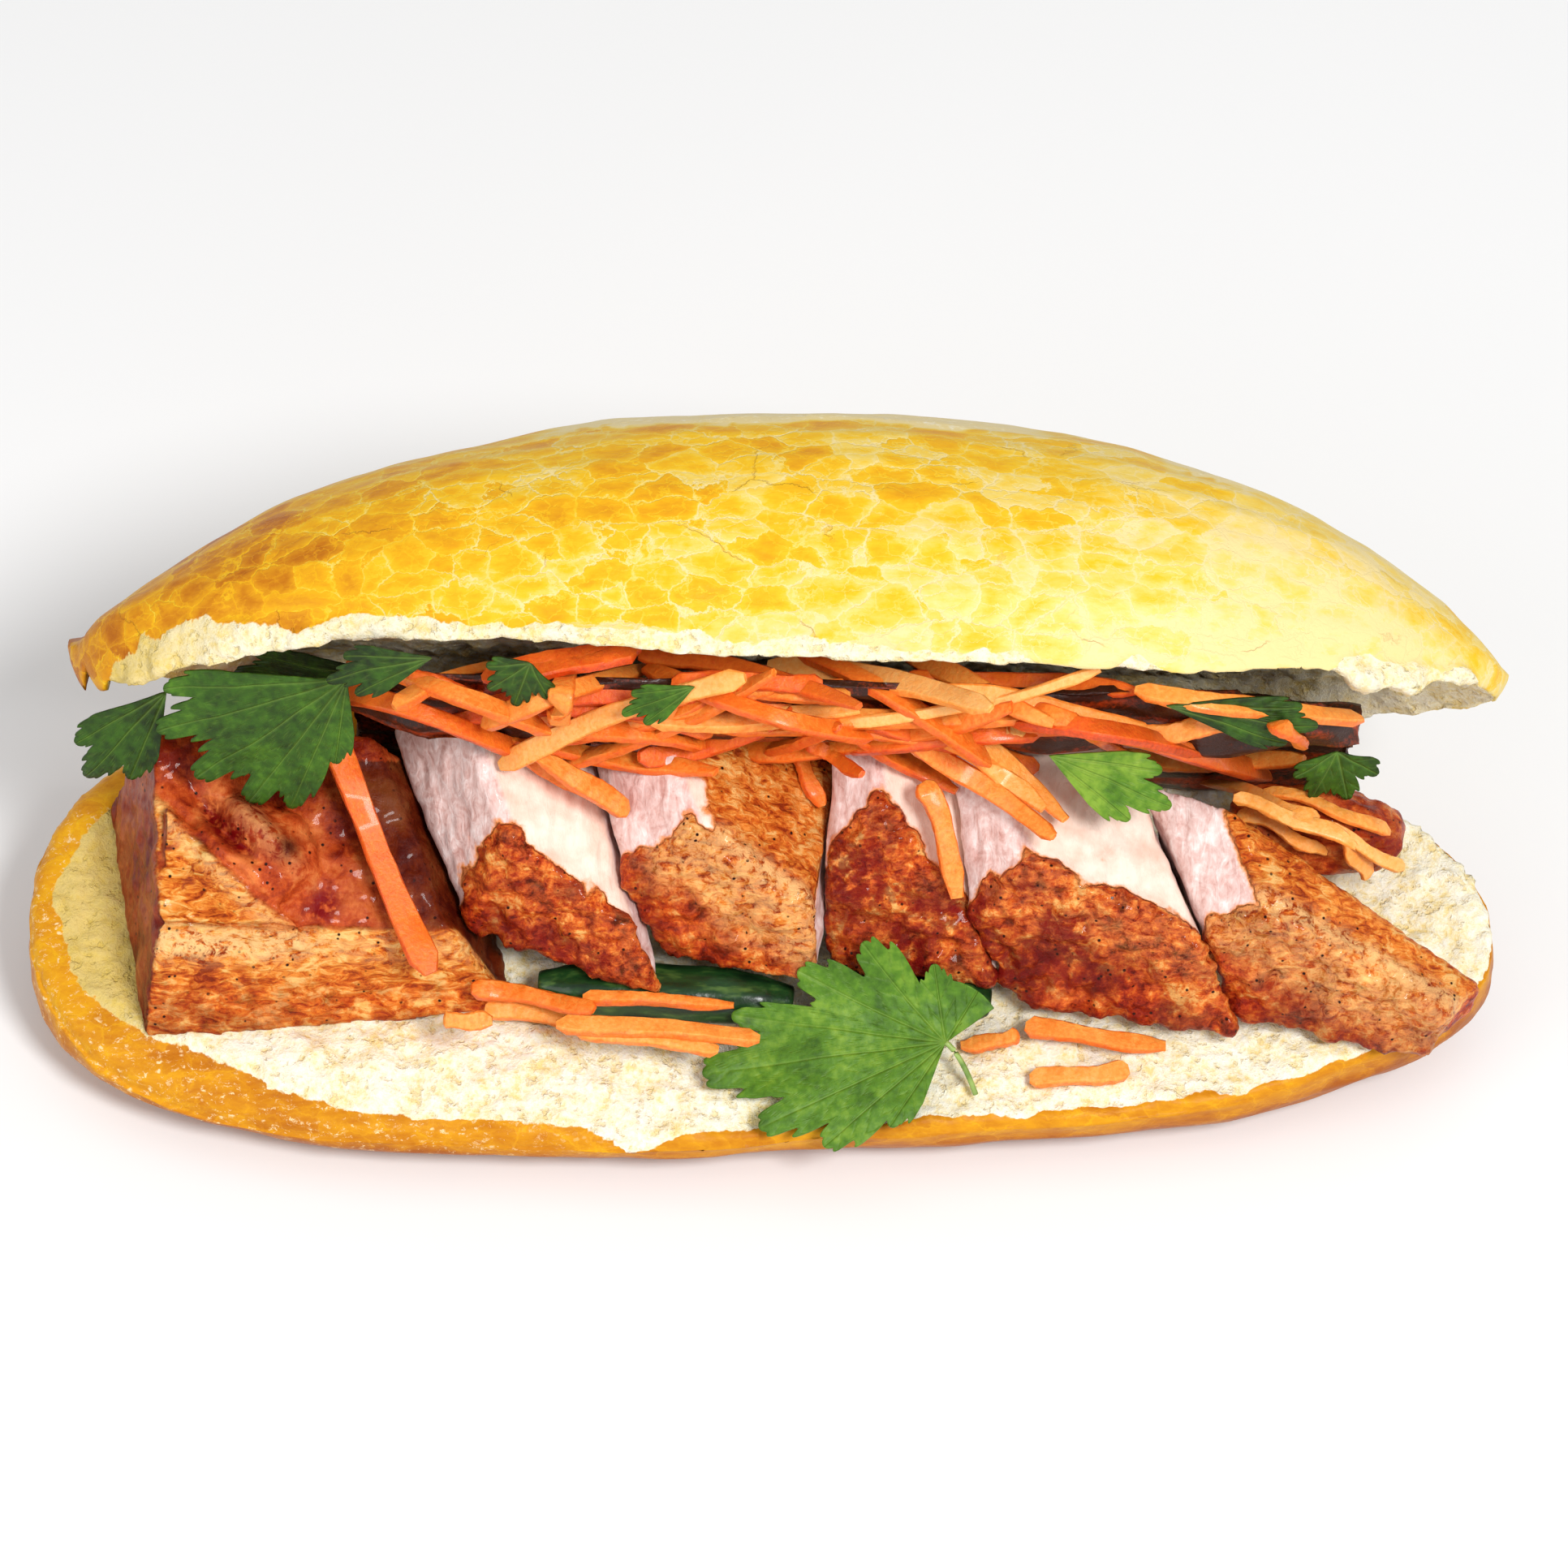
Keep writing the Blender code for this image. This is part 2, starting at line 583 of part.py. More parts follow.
def leaf_reach(angle, lobes, teeth=9):
    """How far a leaf's edge is from its base, as a share of its length, at an angle."""
    reach = 0.26
    for middle, length, half in lobes:
        off = abs(angle - middle) / half
        if off < 1:
            bump = (1 - off**2.2) ** 0.55
            reach = max(reach, length * (0.26 + 0.74 * bump))
    tooth = abs(math.sin(math.radians(angle) * teeth))
    return reach * (0.93 + 0.07 * tooth)


def make_leaf(name, base, tip, face, lobes, points, parent, droop=0.0, curl=0.0):
    """A thin lobed leaf from its base to its tip, facing one way and drooping along its length."""
    base, tip = place(*base), place(*tip)
    along = tip - base
    size = along.length
    along.normalize()
    facing = place(*face)
    across = facing.cross(along).normalized()
    normal = along.cross(across)
    first = min(middle - half * 0.8 for middle, _, half in lobes)
    last = max(middle + half * 0.8 for middle, _, half in lobes)
    edge, middle = [], []
    for i in range(points):
        angle = first + (last - first) * i / (points - 1)
        reach = leaf_reach(angle, lobes) * size
        for ring, share in ((edge, 1.0), (middle, 0.52)):
            forward = math.cos(math.radians(angle)) * reach * share
            side = math.sin(math.radians(angle)) * reach * share
            lift = droop * (reach * share) ** 2 / size + curl * min(0.0, side) ** 2
            ring.append(base + along * forward + across * side + normal * lift)
    bm = bmesh.new()
    sheets = []
    for offset in (normal * LEAF_THICKNESS / 2, -normal * LEAF_THICKNESS / 2):
        root = bm.verts.new(base + offset)
        sheets.append((root, [bm.verts.new(p + offset) for p in middle],
                       [bm.verts.new(p + offset) for p in edge]))
    for root, inner, outer in sheets:
        for i in range(points - 1):
            bm.faces.new((root, inner[i], inner[i + 1]))
            bm.faces.new((inner[i], outer[i], outer[i + 1], inner[i + 1]))
    rims = [[root, inner[0], *outer, inner[-1]] for root, inner, outer in sheets]
    for i in range(len(rims[0])):
        j = (i + 1) % len(rims[0])
        bm.faces.new((rims[0][i], rims[0][j], rims[1][j], rims[1][i]))
    add_object(name, bm, "coriander", parent)


def centre_on_origin():
    """Moves everything so that the origin lies under the middle of the whole sandwich."""
    bpy.context.view_layer.update()
    things = bpy.context.scene.objects
    corners = [thing.matrix_world @ vert.co for thing in things if thing.type == "MESH"
               for vert in thing.data.vertices]
    low, high = (Vector(pick(axis) for axis in zip(*corners)) for pick in (min, max))
    middle = Vector(((low.x + high.x) / 2, (low.y + high.y) / 2, low.z))
    for thing in things:
        if thing.parent is None:
            thing.location -= middle


def main():
    clear_scene()
    lower_seat = seat("lower_seat", LOWER_TILT)
    upper_seat = seat("upper_seat", -UPPER_TILT)
    make_bread(upper_seat)

    make_end_piece(lower_seat)
    names = list(SLICES)
    for i, name in enumerate(names):
        following = SLICES[names[i + 1]] if i + 1 < len(names) else None
        make_slice(name, SLICES[name], following, lower_seat, 11 + 3 * i)
    for i, (name, (middle, radii, turn)) in enumerate(LUMPS.items()):
        make_lump(name, middle, radii, turn, lower_seat, 51 + 3 * i)
    for name, (start, end, width, height) in CUCUMBERS.items():
        make_cucumber(name, start, end, width, height, lower_seat)

    make_carrot_heap(lower_seat)
    for i, (name, (start, end, width, height, rise)) in enumerate(BUNDLES.items()):
        make_bundle(name, start, end, width, height, rise, lower_seat, 61 + i)
    for name, (points, width) in STRIPS.items():
        make_strip(name, points, width, lower_seat)
    for name, shape in LEAVES.items():
        make_leaf(name, parent=lower_seat, **shape)
    centre_on_origin()


main()
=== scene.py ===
"""Looks of a banh mi sandwich: baked crust and torn crumb, roast meat with crackling, shredded
carrot, cucumber and coriander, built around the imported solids.

Lengths are in millimetres and angles in degrees until MM turns them into metres. As in the
solids, a place (x, s, h) is read in a seat on the hinge line of the roll: s runs out over the
cut face of the lower or upper half and h away from the lower crumb. A place (x, q) is read in
the slanted plane that faces the camera: q runs up in it, and a thing let fall at it lands on
whatever lies below.
"""

import math
import random

import bmesh
import bpy
import numpy as np
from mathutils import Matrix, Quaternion, Vector
from mathutils.bvhtree import BVHTree
from mathutils.kdtree import KDTree


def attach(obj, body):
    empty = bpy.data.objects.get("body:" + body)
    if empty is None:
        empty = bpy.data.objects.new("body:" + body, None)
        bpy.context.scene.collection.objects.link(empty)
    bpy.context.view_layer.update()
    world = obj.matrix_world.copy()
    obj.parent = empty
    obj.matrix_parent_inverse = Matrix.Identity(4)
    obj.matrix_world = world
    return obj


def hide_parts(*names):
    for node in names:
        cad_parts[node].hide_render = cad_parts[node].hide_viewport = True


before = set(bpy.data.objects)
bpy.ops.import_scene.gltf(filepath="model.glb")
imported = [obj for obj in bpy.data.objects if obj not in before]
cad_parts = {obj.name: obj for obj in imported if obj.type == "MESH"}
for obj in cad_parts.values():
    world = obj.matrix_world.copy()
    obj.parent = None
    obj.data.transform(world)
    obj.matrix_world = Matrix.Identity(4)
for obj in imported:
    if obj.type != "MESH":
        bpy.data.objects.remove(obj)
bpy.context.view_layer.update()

MM = 0.001
HINGE = Vector((1.1, 27.06, 30.0))
LOWER_TILT = 12.5
UPPER_TILT = 55.3

CAMERA_ELEVATION = 48.0
CAMERA_ROLL = 1.5
CAMERA_DISTANCE = 1000.0
CAMERA_TARGET = Vector((3.1, -6.94, 52.3))
CAMERA_LENS = 146.27

SLANT = math.radians(CAMERA_ELEVATION)
INWARD = Vector((0, math.cos(SLANT), -math.sin(SLANT)))
UPWARD = Vector((0, math.sin(SLANT), math.cos(SLANT)))

# Slices: whether the top is roasted, and how pale and how red the browned front is
SLICES = {
    "meat_slice_2": (False, 0.1, 0.7),
    "meat_slice_3": (True, 0.9, 0.2),
    "meat_slice_4": (False, 0.1, 0.8),
    "meat_slice_5": (False, 0.2, 0.75),
    "meat_slice_6": (True, 0.7, 0.25),
}
LUMPS = ["meat_back_right", "meat_back_left"]


# Numbers over many points at once


def seat_axes(points, tilt):
    """Columns x, s and h of points read in the seat with that tilt."""
    angle = math.radians(tilt)
    y, z = points[:, 1] - HINGE.y, points[:, 2] - HINGE.z
    s = -y * math.cos(angle) - z * math.sin(angle)
    h = -y * math.sin(angle) + z * math.cos(angle)
    return points[:, 0] - HINGE.x, s, h


def seat_place(x, s, h, tilt=LOWER_TILT):
    """The place (x, s, h) of a seat, in the model's own axes."""
    angle = math.radians(tilt)
    return HINGE + Vector((x, -s * math.cos(angle) - h * math.sin(angle),
                           -s * math.sin(angle) + h * math.cos(angle)))


def scatter(cell, seed):
    """An even random number from 0 to 1 for each whole-numbered cell."""
    x, y, z = (cell[..., i].astype(np.int64) for i in range(3))
    n = (x * 374761393 + y * 668265263 + z * 1440662683 + seed * 1013904223) & 0xFFFFFFFF
    n = ((n ^ (n >> 13)) * 1274126177) & 0xFFFFFFFF
    n = ((n ^ (n >> 16)) * 2246822519) & 0xFFFFFFFF
    return ((n ^ (n >> 15)) & 0xFFFFFF) / 0xFFFFFF


def waves(points, size, seed=0):
    """Smooth noise from -1 to 1 with features of about that size."""
    grid = points / np.asarray(size, float)
    base = np.floor(grid)
    t = grid - base
    t = t * t * t * (t * (t * 6 - 15) + 10)
    total = np.zeros(len(points))
    for corner in range(8):
        step = np.array([corner & 1, corner >> 1 & 1, corner >> 2])
        share = np.prod(np.where(step, t, 1 - t), axis=1)
        total += share * scatter(base + step, seed)
    return total * 2 - 1


def layers(points, size, count, seed=0):
    """Noise with finer and finer layers, each half as strong as the one before."""
    total = np.zeros(len(points))
    for i in range(count):
        total += waves(points, np.asarray(size, float) / 2**i, seed + i) / 2**i
    return total


def step(value, low, high):
    """0 up to low, 1 from high on and an even S between them."""
    t = np.clip((value - low) / (high - low), 0, 1)
    return t * t * (3 - 2 * t)


def hill(value, middle, width):
    return np.exp(-(((value - middle) / width) ** 2))


# Meshes


def points_of(mesh):
    flat = np.empty(len(mesh.vertices) * 3, dtype=np.float32)
    mesh.vertices.foreach_get("co", flat)
    return flat.reshape(-1, 3).astype(float) / MM


def normals_of(mesh):
    flat = np.empty(len(mesh.vertices) * 3, dtype=np.float32)
    mesh.vertex_normals.foreach_get("vector", flat)
    return flat.reshape(-1, 3).astype(float)


def set_points(mesh, points):
    mesh.vertices.foreach_set("co", (points * MM).astype(np.float32).ravel())
    mesh.update()


def paint(mesh, name, values):
    """Keeps one number for each point, for the materials to read."""
    layer = mesh.attributes.new(name, "FLOAT", "POINT")
    layer.data.foreach_set("value", np.asarray(values, dtype=np.float32))


def finish_piece(piece, surface, slot, *nodes, sharp=None):
    """Gives a piece its material, its body and the nodes that it stands for. The slot is not used."""
    piece.data.materials.clear()
    piece.data.materials.append(surface)
    piece.data.shade_smooth()
    if sharp is not None:
        piece.data.set_sharp_from_angle(angle=math.radians(sharp))
    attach(piece, "root")
    if nodes:
        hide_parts(*nodes)
    return piece


def new_piece(name, mesh):
    piece = bpy.data.objects.new(name, mesh)
    bpy.context.scene.collection.objects.link(piece)
    return piece


def fine_copy(node, name, voxel, smoothing=4):
    """A copy of a node's solid in small even faces, with its edges softened."""
    piece = new_piece(name, bpy.data.objects[node].data.copy())
    remesh = piece.modifiers.new("remesh", "REMESH")
    remesh.mode = "VOXEL"
    remesh.voxel_size = voxel * MM
    smooth = piece.modifiers.new("smooth", "SMOOTH")
    smooth.iterations = smoothing
    smooth.factor = 0.5
    evaluated = piece.evaluated_get(bpy.context.evaluated_depsgraph_get())
    made = bpy.data.meshes.new_from_object(evaluated)
    piece.modifiers.clear()
    piece.data = made
    made.name = name
    return piece


def main_face(node, direction):
    """Point and outward normal of the node's large flat face that looks most that way."""
    mesh = bpy.data.objects[node].data
    direction = Vector(direction).normalized()
    best = max(mesh.polygons, key=lambda p: p.area**0.5 * max(0.0, p.normal.dot(direction)) ** 3)
    return np.array(best.center) / MM, np.array(best.normal)


def depth_under(points, face):
    """How deep points lie under a flat face."""
    point, normal = face
    return (point - points) @ normal


class Pile:
    """Collects many small meshes into one, with numbers for each point."""

    def __init__(self):
        self.points, self.faces, self.numbers = [], [], {}

    def add(self, points, faces, **numbers):
        start = len(self.points)
        self.points.extend(points)
        self.faces.extend(tuple(i + start for i in face) for face in faces)
        for name, values in numbers.items():
            self.numbers.setdefault(name, []).extend(values)

    def piece(self, name):
        mesh = bpy.data.meshes.new(name)
        mesh.from_pydata([Vector(p) * MM for p in self.points], [], self.faces)
        for key, values in self.numbers.items():
            paint(mesh, key, values)
        mesh.update()
        return new_piece(name, mesh)


# Materials


def srgb(red, green, blue):
    """A colour as it looks on a screen, from 0 to 255, in the shader's linear numbers."""
    parts = [c / 255 for c in (red, green, blue)]
    return tuple(c / 12.92 if c <= 0.04045 else ((c + 0.055) / 1.055) ** 2.4 for c in parts) + (1,)


class Surface:
    """One material's nodes. Sizes in it are in millimetres."""

    def __init__(self, name, roughness=0.5, **constants):
        self.material = bpy.data.materials.new(name)
        self.material.use_nodes = True
        self.tree = self.material.node_tree
        self.shader = self.tree.nodes["Principled BSDF"]
        self.shader.inputs["Roughness"].default_value = roughness
        for key, value in constants.items():
            self.shader.inputs[key.replace("_", " ")].default_value = value
        coordinates = self.add("ShaderNodeTexCoord")
        self.place = self.vector("MULTIPLY", coordinates.outputs["Object"], (1000, 1000, 1000))

    def add(self, kind, **settings):
        node = self.tree.nodes.new(kind)
        for key, value in settings.items():
            setattr(node, key, value)
        return node

    def feed(self, socket, value):
        if isinstance(value, bpy.types.NodeSocket):
            self.tree.links.new(value, socket)
        elif value is not None:
            socket.default_value = value

    def vector(self, operation, one, other):
        node = self.add("ShaderNodeVectorMath", operation=operation)
        self.feed(node.inputs[0], one)
        self.feed(node.inputs[1], other)
        return node.outputs[0]

    def maths(self, operation, one, other=None):
        node = self.add("ShaderNodeMath", operation=operation)
        self.feed(node.inputs[0], one)
        self.feed(node.inputs[1], other)
        return node.outputs[0]

    def total(self, first, *others):
        for other in others:
            first = self.maths("ADD", first, other)
        return first

    def centred(self, value, strength):
        """Noise from 0 to 1 turned into an offset about 0."""
        return self.maths("MULTIPLY", self.maths("SUBTRACT", value, 0.5), strength)

    def number(self, name):
        return self.add("ShaderNodeAttribute", attribute_name=name).outputs["Fac"]

    def noise(self, size, detail=3, roughness=0.55, place=None, twist=0.0):
        node = self.add("ShaderNodeTexNoise")
        self.feed(node.inputs["Vector"], place or self.place)
        node.inputs["Scale"].default_value = 1 / size
        node.inputs["Detail"].default_value = detail
        node.inputs["Roughness"].default_value = roughness
        node.inputs["Distortion"].default_value = twist
        return node.outputs["Fac"]

    def cells(self, size, feature="F1", place=None, output="Distance"):
        node = self.add("ShaderNodeTexVoronoi", feature=feature)
        self.feed(node.inputs["Vector"], place or self.place)
        node.inputs["Scale"].default_value = 1 / size
        return node.outputs[output]

    def span(self, value, low, high, start=0.0, end=1.0):
        """Maps low..high to start..end in an even S, and holds it outside."""
        node = self.add("ShaderNodeMapRange", interpolation_type="SMOOTHSTEP")
        for socket, given in zip(node.inputs, (value, low, high, start, end)):
            self.feed(socket, given)
        return node.outputs[0]

    def ramp(self, value, *stops):
        """Colours at places from 0 to 1."""
        node = self.add("ShaderNodeValToRGB")
        elements = node.color_ramp.elements
        while len(elements) < len(stops):
            elements.new(0.5)
        for element, (position, colour) in zip(elements, stops):
            element.position, element.color = position, colour
        self.feed(node.inputs["Fac"], value)
        return node.outputs["Color"]

    def mix(self, share, one, other, blend="MIX"):
        node = self.add("ShaderNodeMix", data_type="RGBA", blend_type=blend)
        self.feed(node.inputs["Factor"], share)
        self.feed(node.inputs[6], one)
        self.feed(node.inputs[7], other)
        return node.outputs[2]

    def bump(self, height, depth, below=None):
        """Relief that many millimetres deep."""
        node = self.add("ShaderNodeBump")
        node.inputs["Strength"].default_value = 1.0
        node.inputs["Distance"].default_value = depth * MM
        self.feed(node.inputs["Height"], height)
        self.feed(node.inputs["Normal"], below)
        return node.outputs["Normal"]

    def use(self, colour, normal=None, roughness=None):
        self.feed(self.shader.inputs["Base Color"], colour)
        self.feed(self.shader.inputs["Normal"], normal)
        self.feed(self.shader.inputs["Roughness"], roughness)
        return self.material


def bread_surface():
    """Crust in pale-edged plates over a bake that runs from brown to straw, and torn crumb."""
    s = Surface("bread_crust_and_crumb", roughness=0.45, Specular_IOR_Level=0.12)
    warp = s.add("ShaderNodeTexNoise")
    s.feed(warp.inputs["Vector"], s.place)
    warp.inputs["Scale"].default_value = 1 / 5
    warp.inputs["Detail"].default_value = 5
    warp.inputs["Roughness"].default_value = 0.62
    shifted = s.vector("ADD", s.place, s.vector("MULTIPLY", warp.outputs["Color"], (4.6, 4.6, 4.6)))
    flat = s.vector("MULTIPLY", shifted, (0.52, 1, 1))
    plates = s.number("plates")
    broken = s.span(s.noise(7, 2), 0.40, 0.60, 0.45, 1.0)
    to_edge = s.cells(4.4, "DISTANCE_TO_EDGE", flat)
    large = s.span(to_edge, 0.004, 0.042, 1.0, 0.0)
    small = s.span(s.cells(2.3, "DISTANCE_TO_EDGE", flat), 0.01, 0.06, 0.5, 0.0)
    middles = s.maths("MULTIPLY", s.span(to_edge, 0.03, 0.32, 0.07, -0.07), plates)
    lines = s.maths("MULTIPLY", s.maths("MAXIMUM", large, small), s.maths("MULTIPLY", broken, plates))
    separate = s.add("ShaderNodeSeparateColor")
    s.feed(separate.inputs[0], s.cells(4.4, "F1", flat, "Color"))
    by_plate = s.maths("MULTIPLY", s.centred(separate.outputs[0], 0.30), plates)
    streaks = s.noise(1.5, 5, 0.65, s.vector("MULTIPLY", s.place, (0.35, 1, 1)))
    level = s.total(s.number("bake"), s.centred(s.noise(13, 4), 0.36), s.centred(streaks, 0.46),
                    by_plate, middles, s.maths("MULTIPLY", lines, 0.30))
    crust = s.ramp(
        level,
        (0.0, srgb(164, 86, 16)), (0.16, srgb(191, 116, 20)), (0.34, srgb(214, 146, 24)),
        (0.50, srgb(227, 167, 24)), (0.66, srgb(232, 186, 36)), (0.82, srgb(231, 201, 98)),
        (1.0, srgb(231, 209, 146)),
    )
    dots = s.span(s.cells(1.3, "F1", flat), 0.12, 0.30, 1.0, 0.0)
    dusty = s.maths("MAXIMUM", s.maths("MULTIPLY", dots, s.span(s.noise(4, 3), 0.50, 0.62)),
                    s.span(s.noise(0.9, 5, 0.75, flat), 0.56, 0.66))
    crust = s.mix(s.maths("MULTIPLY", s.number("flour"), dusty), crust, srgb(236, 208, 156))
    crack = s.span(s.cells(19, "DISTANCE_TO_EDGE", flat), 0.0, 0.007, 1.0, 0.0)
    crack = s.maths("MULTIPLY", crack, s.maths("MULTIPLY", plates, s.span(s.noise(13, 1), 0.52, 0.6)))
    crust = s.mix(s.maths("MULTIPLY", crack, 0.25), crust, srgb(196, 122, 40))

    grain = s.noise(1.2, 5, 0.72)
    lumps = s.noise(5, 3, 0.55)
    pits = s.span(s.noise(2.0, 4, 0.6), 0.55, 0.68)
    # The crumb's colour follows its relief: the low grain and lumps, and the pits, are painted darker yellow
    # as shade in its hollows.
    soft = s.ramp(
        s.total(s.maths("MULTIPLY", grain, 0.6), s.maths("MULTIPLY", lumps, 0.4)),
        (0.38, srgb(248, 222, 150)), (0.48, srgb(254, 243, 208)), (0.58, srgb(255, 251, 234)),
    )
    soft = s.mix(s.maths("MULTIPLY", pits, 0.55), soft, srgb(246, 214, 130))
    # painted shade: crumb darkened to olive yellow behind the meat's end piece and on the upper half's crumb
    # band, which it also makes yellower
    soft = s.mix(s.number("shade"), soft, srgb(222, 190, 84))
    mask = s.span(s.total(s.number("crumb"), s.centred(s.noise(1.3, 3), 0.9)), 0.40, 0.60)
    colour = s.mix(mask, crust, soft)

    relief = s.total(s.maths("MULTIPLY", lines, -0.35), s.maths("MULTIPLY", s.noise(0.8, 4), 0.4),
                     s.maths("MULTIPLY", streaks, 0.35), s.maths("MULTIPLY", crack, -0.6))
    crumb_relief = s.total(grain, s.maths("MULTIPLY", pits, -0.4), s.maths("MULTIPLY", lumps, 1.2))
    node = s.add("ShaderNodeMix", data_type="VECTOR")
    s.feed(node.inputs["Factor"], mask)
    s.feed(node.inputs[4], s.bump(relief, 0.20))
    s.feed(node.inputs[5], s.bump(crumb_relief, 0.65))
    return s.use(colour, node.outputs[1], s.span(mask, 0, 1, 0.40, 0.95))


def meat_surface():
    """Roast meat: lilac cut fibres, a creamy top, and browned crackling where rind is 1."""
    s = Surface("roast_meat", roughness=0.35, Specular_IOR_Level=0.08, Coat_Weight=0.12,
                Coat_Roughness=0.06)
    diagonal = s.vector("MULTIPLY", s.place, (1.1, 0.32, 0.5))
    fibres = s.noise(1.2, 5, 0.62, diagonal, 0.9)
    blotch = s.noise(6, 3)
    swirls = s.noise(3.4, 4, 0.6, None, 1.6)
    cut = s.ramp(
        s.total(s.maths("MULTIPLY", fibres, 0.45), s.maths("MULTIPLY", blotch, 0.2),
                s.maths("MULTIPLY", swirls, 0.35)),
        (0.38, srgb(198, 150, 140)), (0.46, srgb(220, 184, 176)), (0.54, srgb(234, 208, 202)),
        (0.62, srgb(248, 234, 230)),
    )
    cream = s.ramp(
        s.total(s.maths("MULTIPLY", s.noise(2.5, 3), 0.4), s.maths("MULTIPLY", blotch, 0.6)),
        (0.36, srgb(240, 204, 184)), (0.58, srgb(252, 232, 216)),
    )
    flesh = s.mix(s.number("top"), cut, cream)

    strands = s.noise(1.5, 5, 0.66, s.vector("MULTIPLY", s.place, (0.42, 1.3, 1.1)), 0.8)
    crisp = s.noise(1.7, 6, 0.72, None, 0.5)
    brown = s.ramp(
        s.total(s.maths("MULTIPLY", strands, 0.2), s.maths("MULTIPLY", crisp, 0.35),
                s.maths("MULTIPLY", s.noise(4.5, 4, 0.6), 0.45)),
        (0.40, srgb(70, 10, 4)), (0.45, srgb(140, 28, 8)), (0.50, srgb(196, 66, 16)),
        (0.55, srgb(234, 118, 36)), (0.60, srgb(254, 188, 106)),
    )
    glaze = s.span(s.noise(7, 4, 0.6, None, 0.4), 0.52, 0.62)
    brown = s.mix(s.maths("MULTIPLY", glaze, 0.5), brown, srgb(128, 14, 6))
    skin = s.ramp(s.total(s.maths("MULTIPLY", strands, 0.7), s.maths("MULTIPLY", s.noise(8, 2), 0.3)),
                  (0.40, srgb(140, 46, 8)), (0.46, srgb(206, 96, 22)), (0.53, srgb(240, 148, 54)),
                  (0.61, srgb(254, 206, 124)))
    brown = s.mix(s.number("ochre"), brown, skin)
    glazed = s.ramp(s.total(s.maths("MULTIPLY", crisp, 0.35), s.maths("MULTIPLY", s.noise(9, 3), 0.65)),
                    (0.40, srgb(122, 28, 10)), (0.50, srgb(190, 76, 30)), (0.60, srgb(224, 122, 62)))
    brown = s.mix(s.number("glaze"), brown, glazed)
    # pale: paler roasting on some fronts, and painted highlights along edges of the crackling
    brown = s.mix(s.maths("MULTIPLY", s.number("pale"), s.span(crisp, 0.40, 0.54)), brown,
                  srgb(253, 200, 132))
    crimson = s.maths("MULTIPLY", s.number("crimson"), s.span(s.noise(1.6, 3), 0.35, 0.55))
    brown = s.mix(crimson, brown, srgb(122, 10, 12))
    specks = s.span(s.cells(1.8), 0.10, 0.19, 1.0, 0.0)
    specks = s.maths("MULTIPLY", specks, s.span(s.noise(4, 2), 0.42, 0.56))
    brown = s.mix(specks, brown, srgb(40, 12, 6))
    # dark mixes in near-black brown: painted shade on the end piece, also its char spot and darker lower
    # parts of the fronts
    brown = s.mix(s.number("dark"), brown, srgb(50, 9, 4))
    edge = s.total(s.number("rind"), s.centred(s.noise(1.6, 4), 0.8))
    mask = s.span(edge, 0.36, 0.62)
    flesh = s.mix(s.span(edge, 0.12, 0.42), flesh, srgb(232, 146, 84))
    colour = s.mix(mask, flesh, brown)
    uneven = s.span(s.number("glaze"), 0, 1, 1.0, 0.2)
    rough_part = s.maths("MULTIPLY", s.maths("MULTIPLY", s.total(strands, crisp), mask), uneven)
    normal = s.bump(s.total(s.maths("MULTIPLY", fibres, 0.45), rough_part), 0.6)
    return s.use(colour, normal, s.span(mask, 0, 1, 0.45, 0.3))


def carrot_surface(name="carrot_shreds"):
    """Cut carrot: pale facets and deeper orange, with fine streaks along each shred."""
    s = Surface(name, roughness=0.38, Specular_IOR_Level=0.3, Coat_Weight=0.15,
                Coat_Roughness=0.12,
                Subsurface_Weight=0.15, Subsurface_Scale=0.002)
    s.shader.inputs["Subsurface Radius"].default_value = (1.0, 0.35, 0.1)
    mottle = s.noise(0.8, 4, 0.65)
    # Tones past 0.5 darken to near-black brown: the heap's core uses them as painted shade.
    colour = s.ramp(
        s.maths("MULTIPLY", s.total(s.number("tone"), s.centred(mottle, 0.7)), 0.5),
        (0.0, srgb(252, 188, 112)), (0.15, srgb(249, 160, 70)), (0.30, srgb(242, 120, 34)),
        (0.50, srgb(220, 78, 22)), (0.80, srgb(48, 18, 6)),
    )
    return s.use(colour, s.bump(mottle, 0.22))


def leaf_surface():
    """Coriander leaf: green with paler veins and a soft sheen."""
    s = Surface("coriander_leaf", roughness=0.5, Specular_IOR_Level=0.25)
    patch = s.maths("ADD", s.maths("MULTIPLY", s.noise(7, 3), 0.6), s.maths("MULTIPLY", s.noise(1.5, 3), 0.4))
    # painted shade: leaves tucked in shadow, under the bread, get a darker green
    patch = s.maths("SUBTRACT", patch, s.maths("MULTIPLY", s.number("dark"), 0.35))
    green = s.ramp(
        patch,
        (0.15, srgb(24, 44, 8)), (0.36, srgb(52, 88, 16)), (0.52, srgb(80, 122, 26)),
        (0.70, srgb(124, 158, 48)),
    )
    colour = s.mix(s.maths("MULTIPLY", s.number("vein"), 0.22), green, srgb(150, 182, 84))
    return s.use(colour, s.bump(s.number("vein"), -0.16, s.bump(s.noise(1.0, 3), 0.12)))


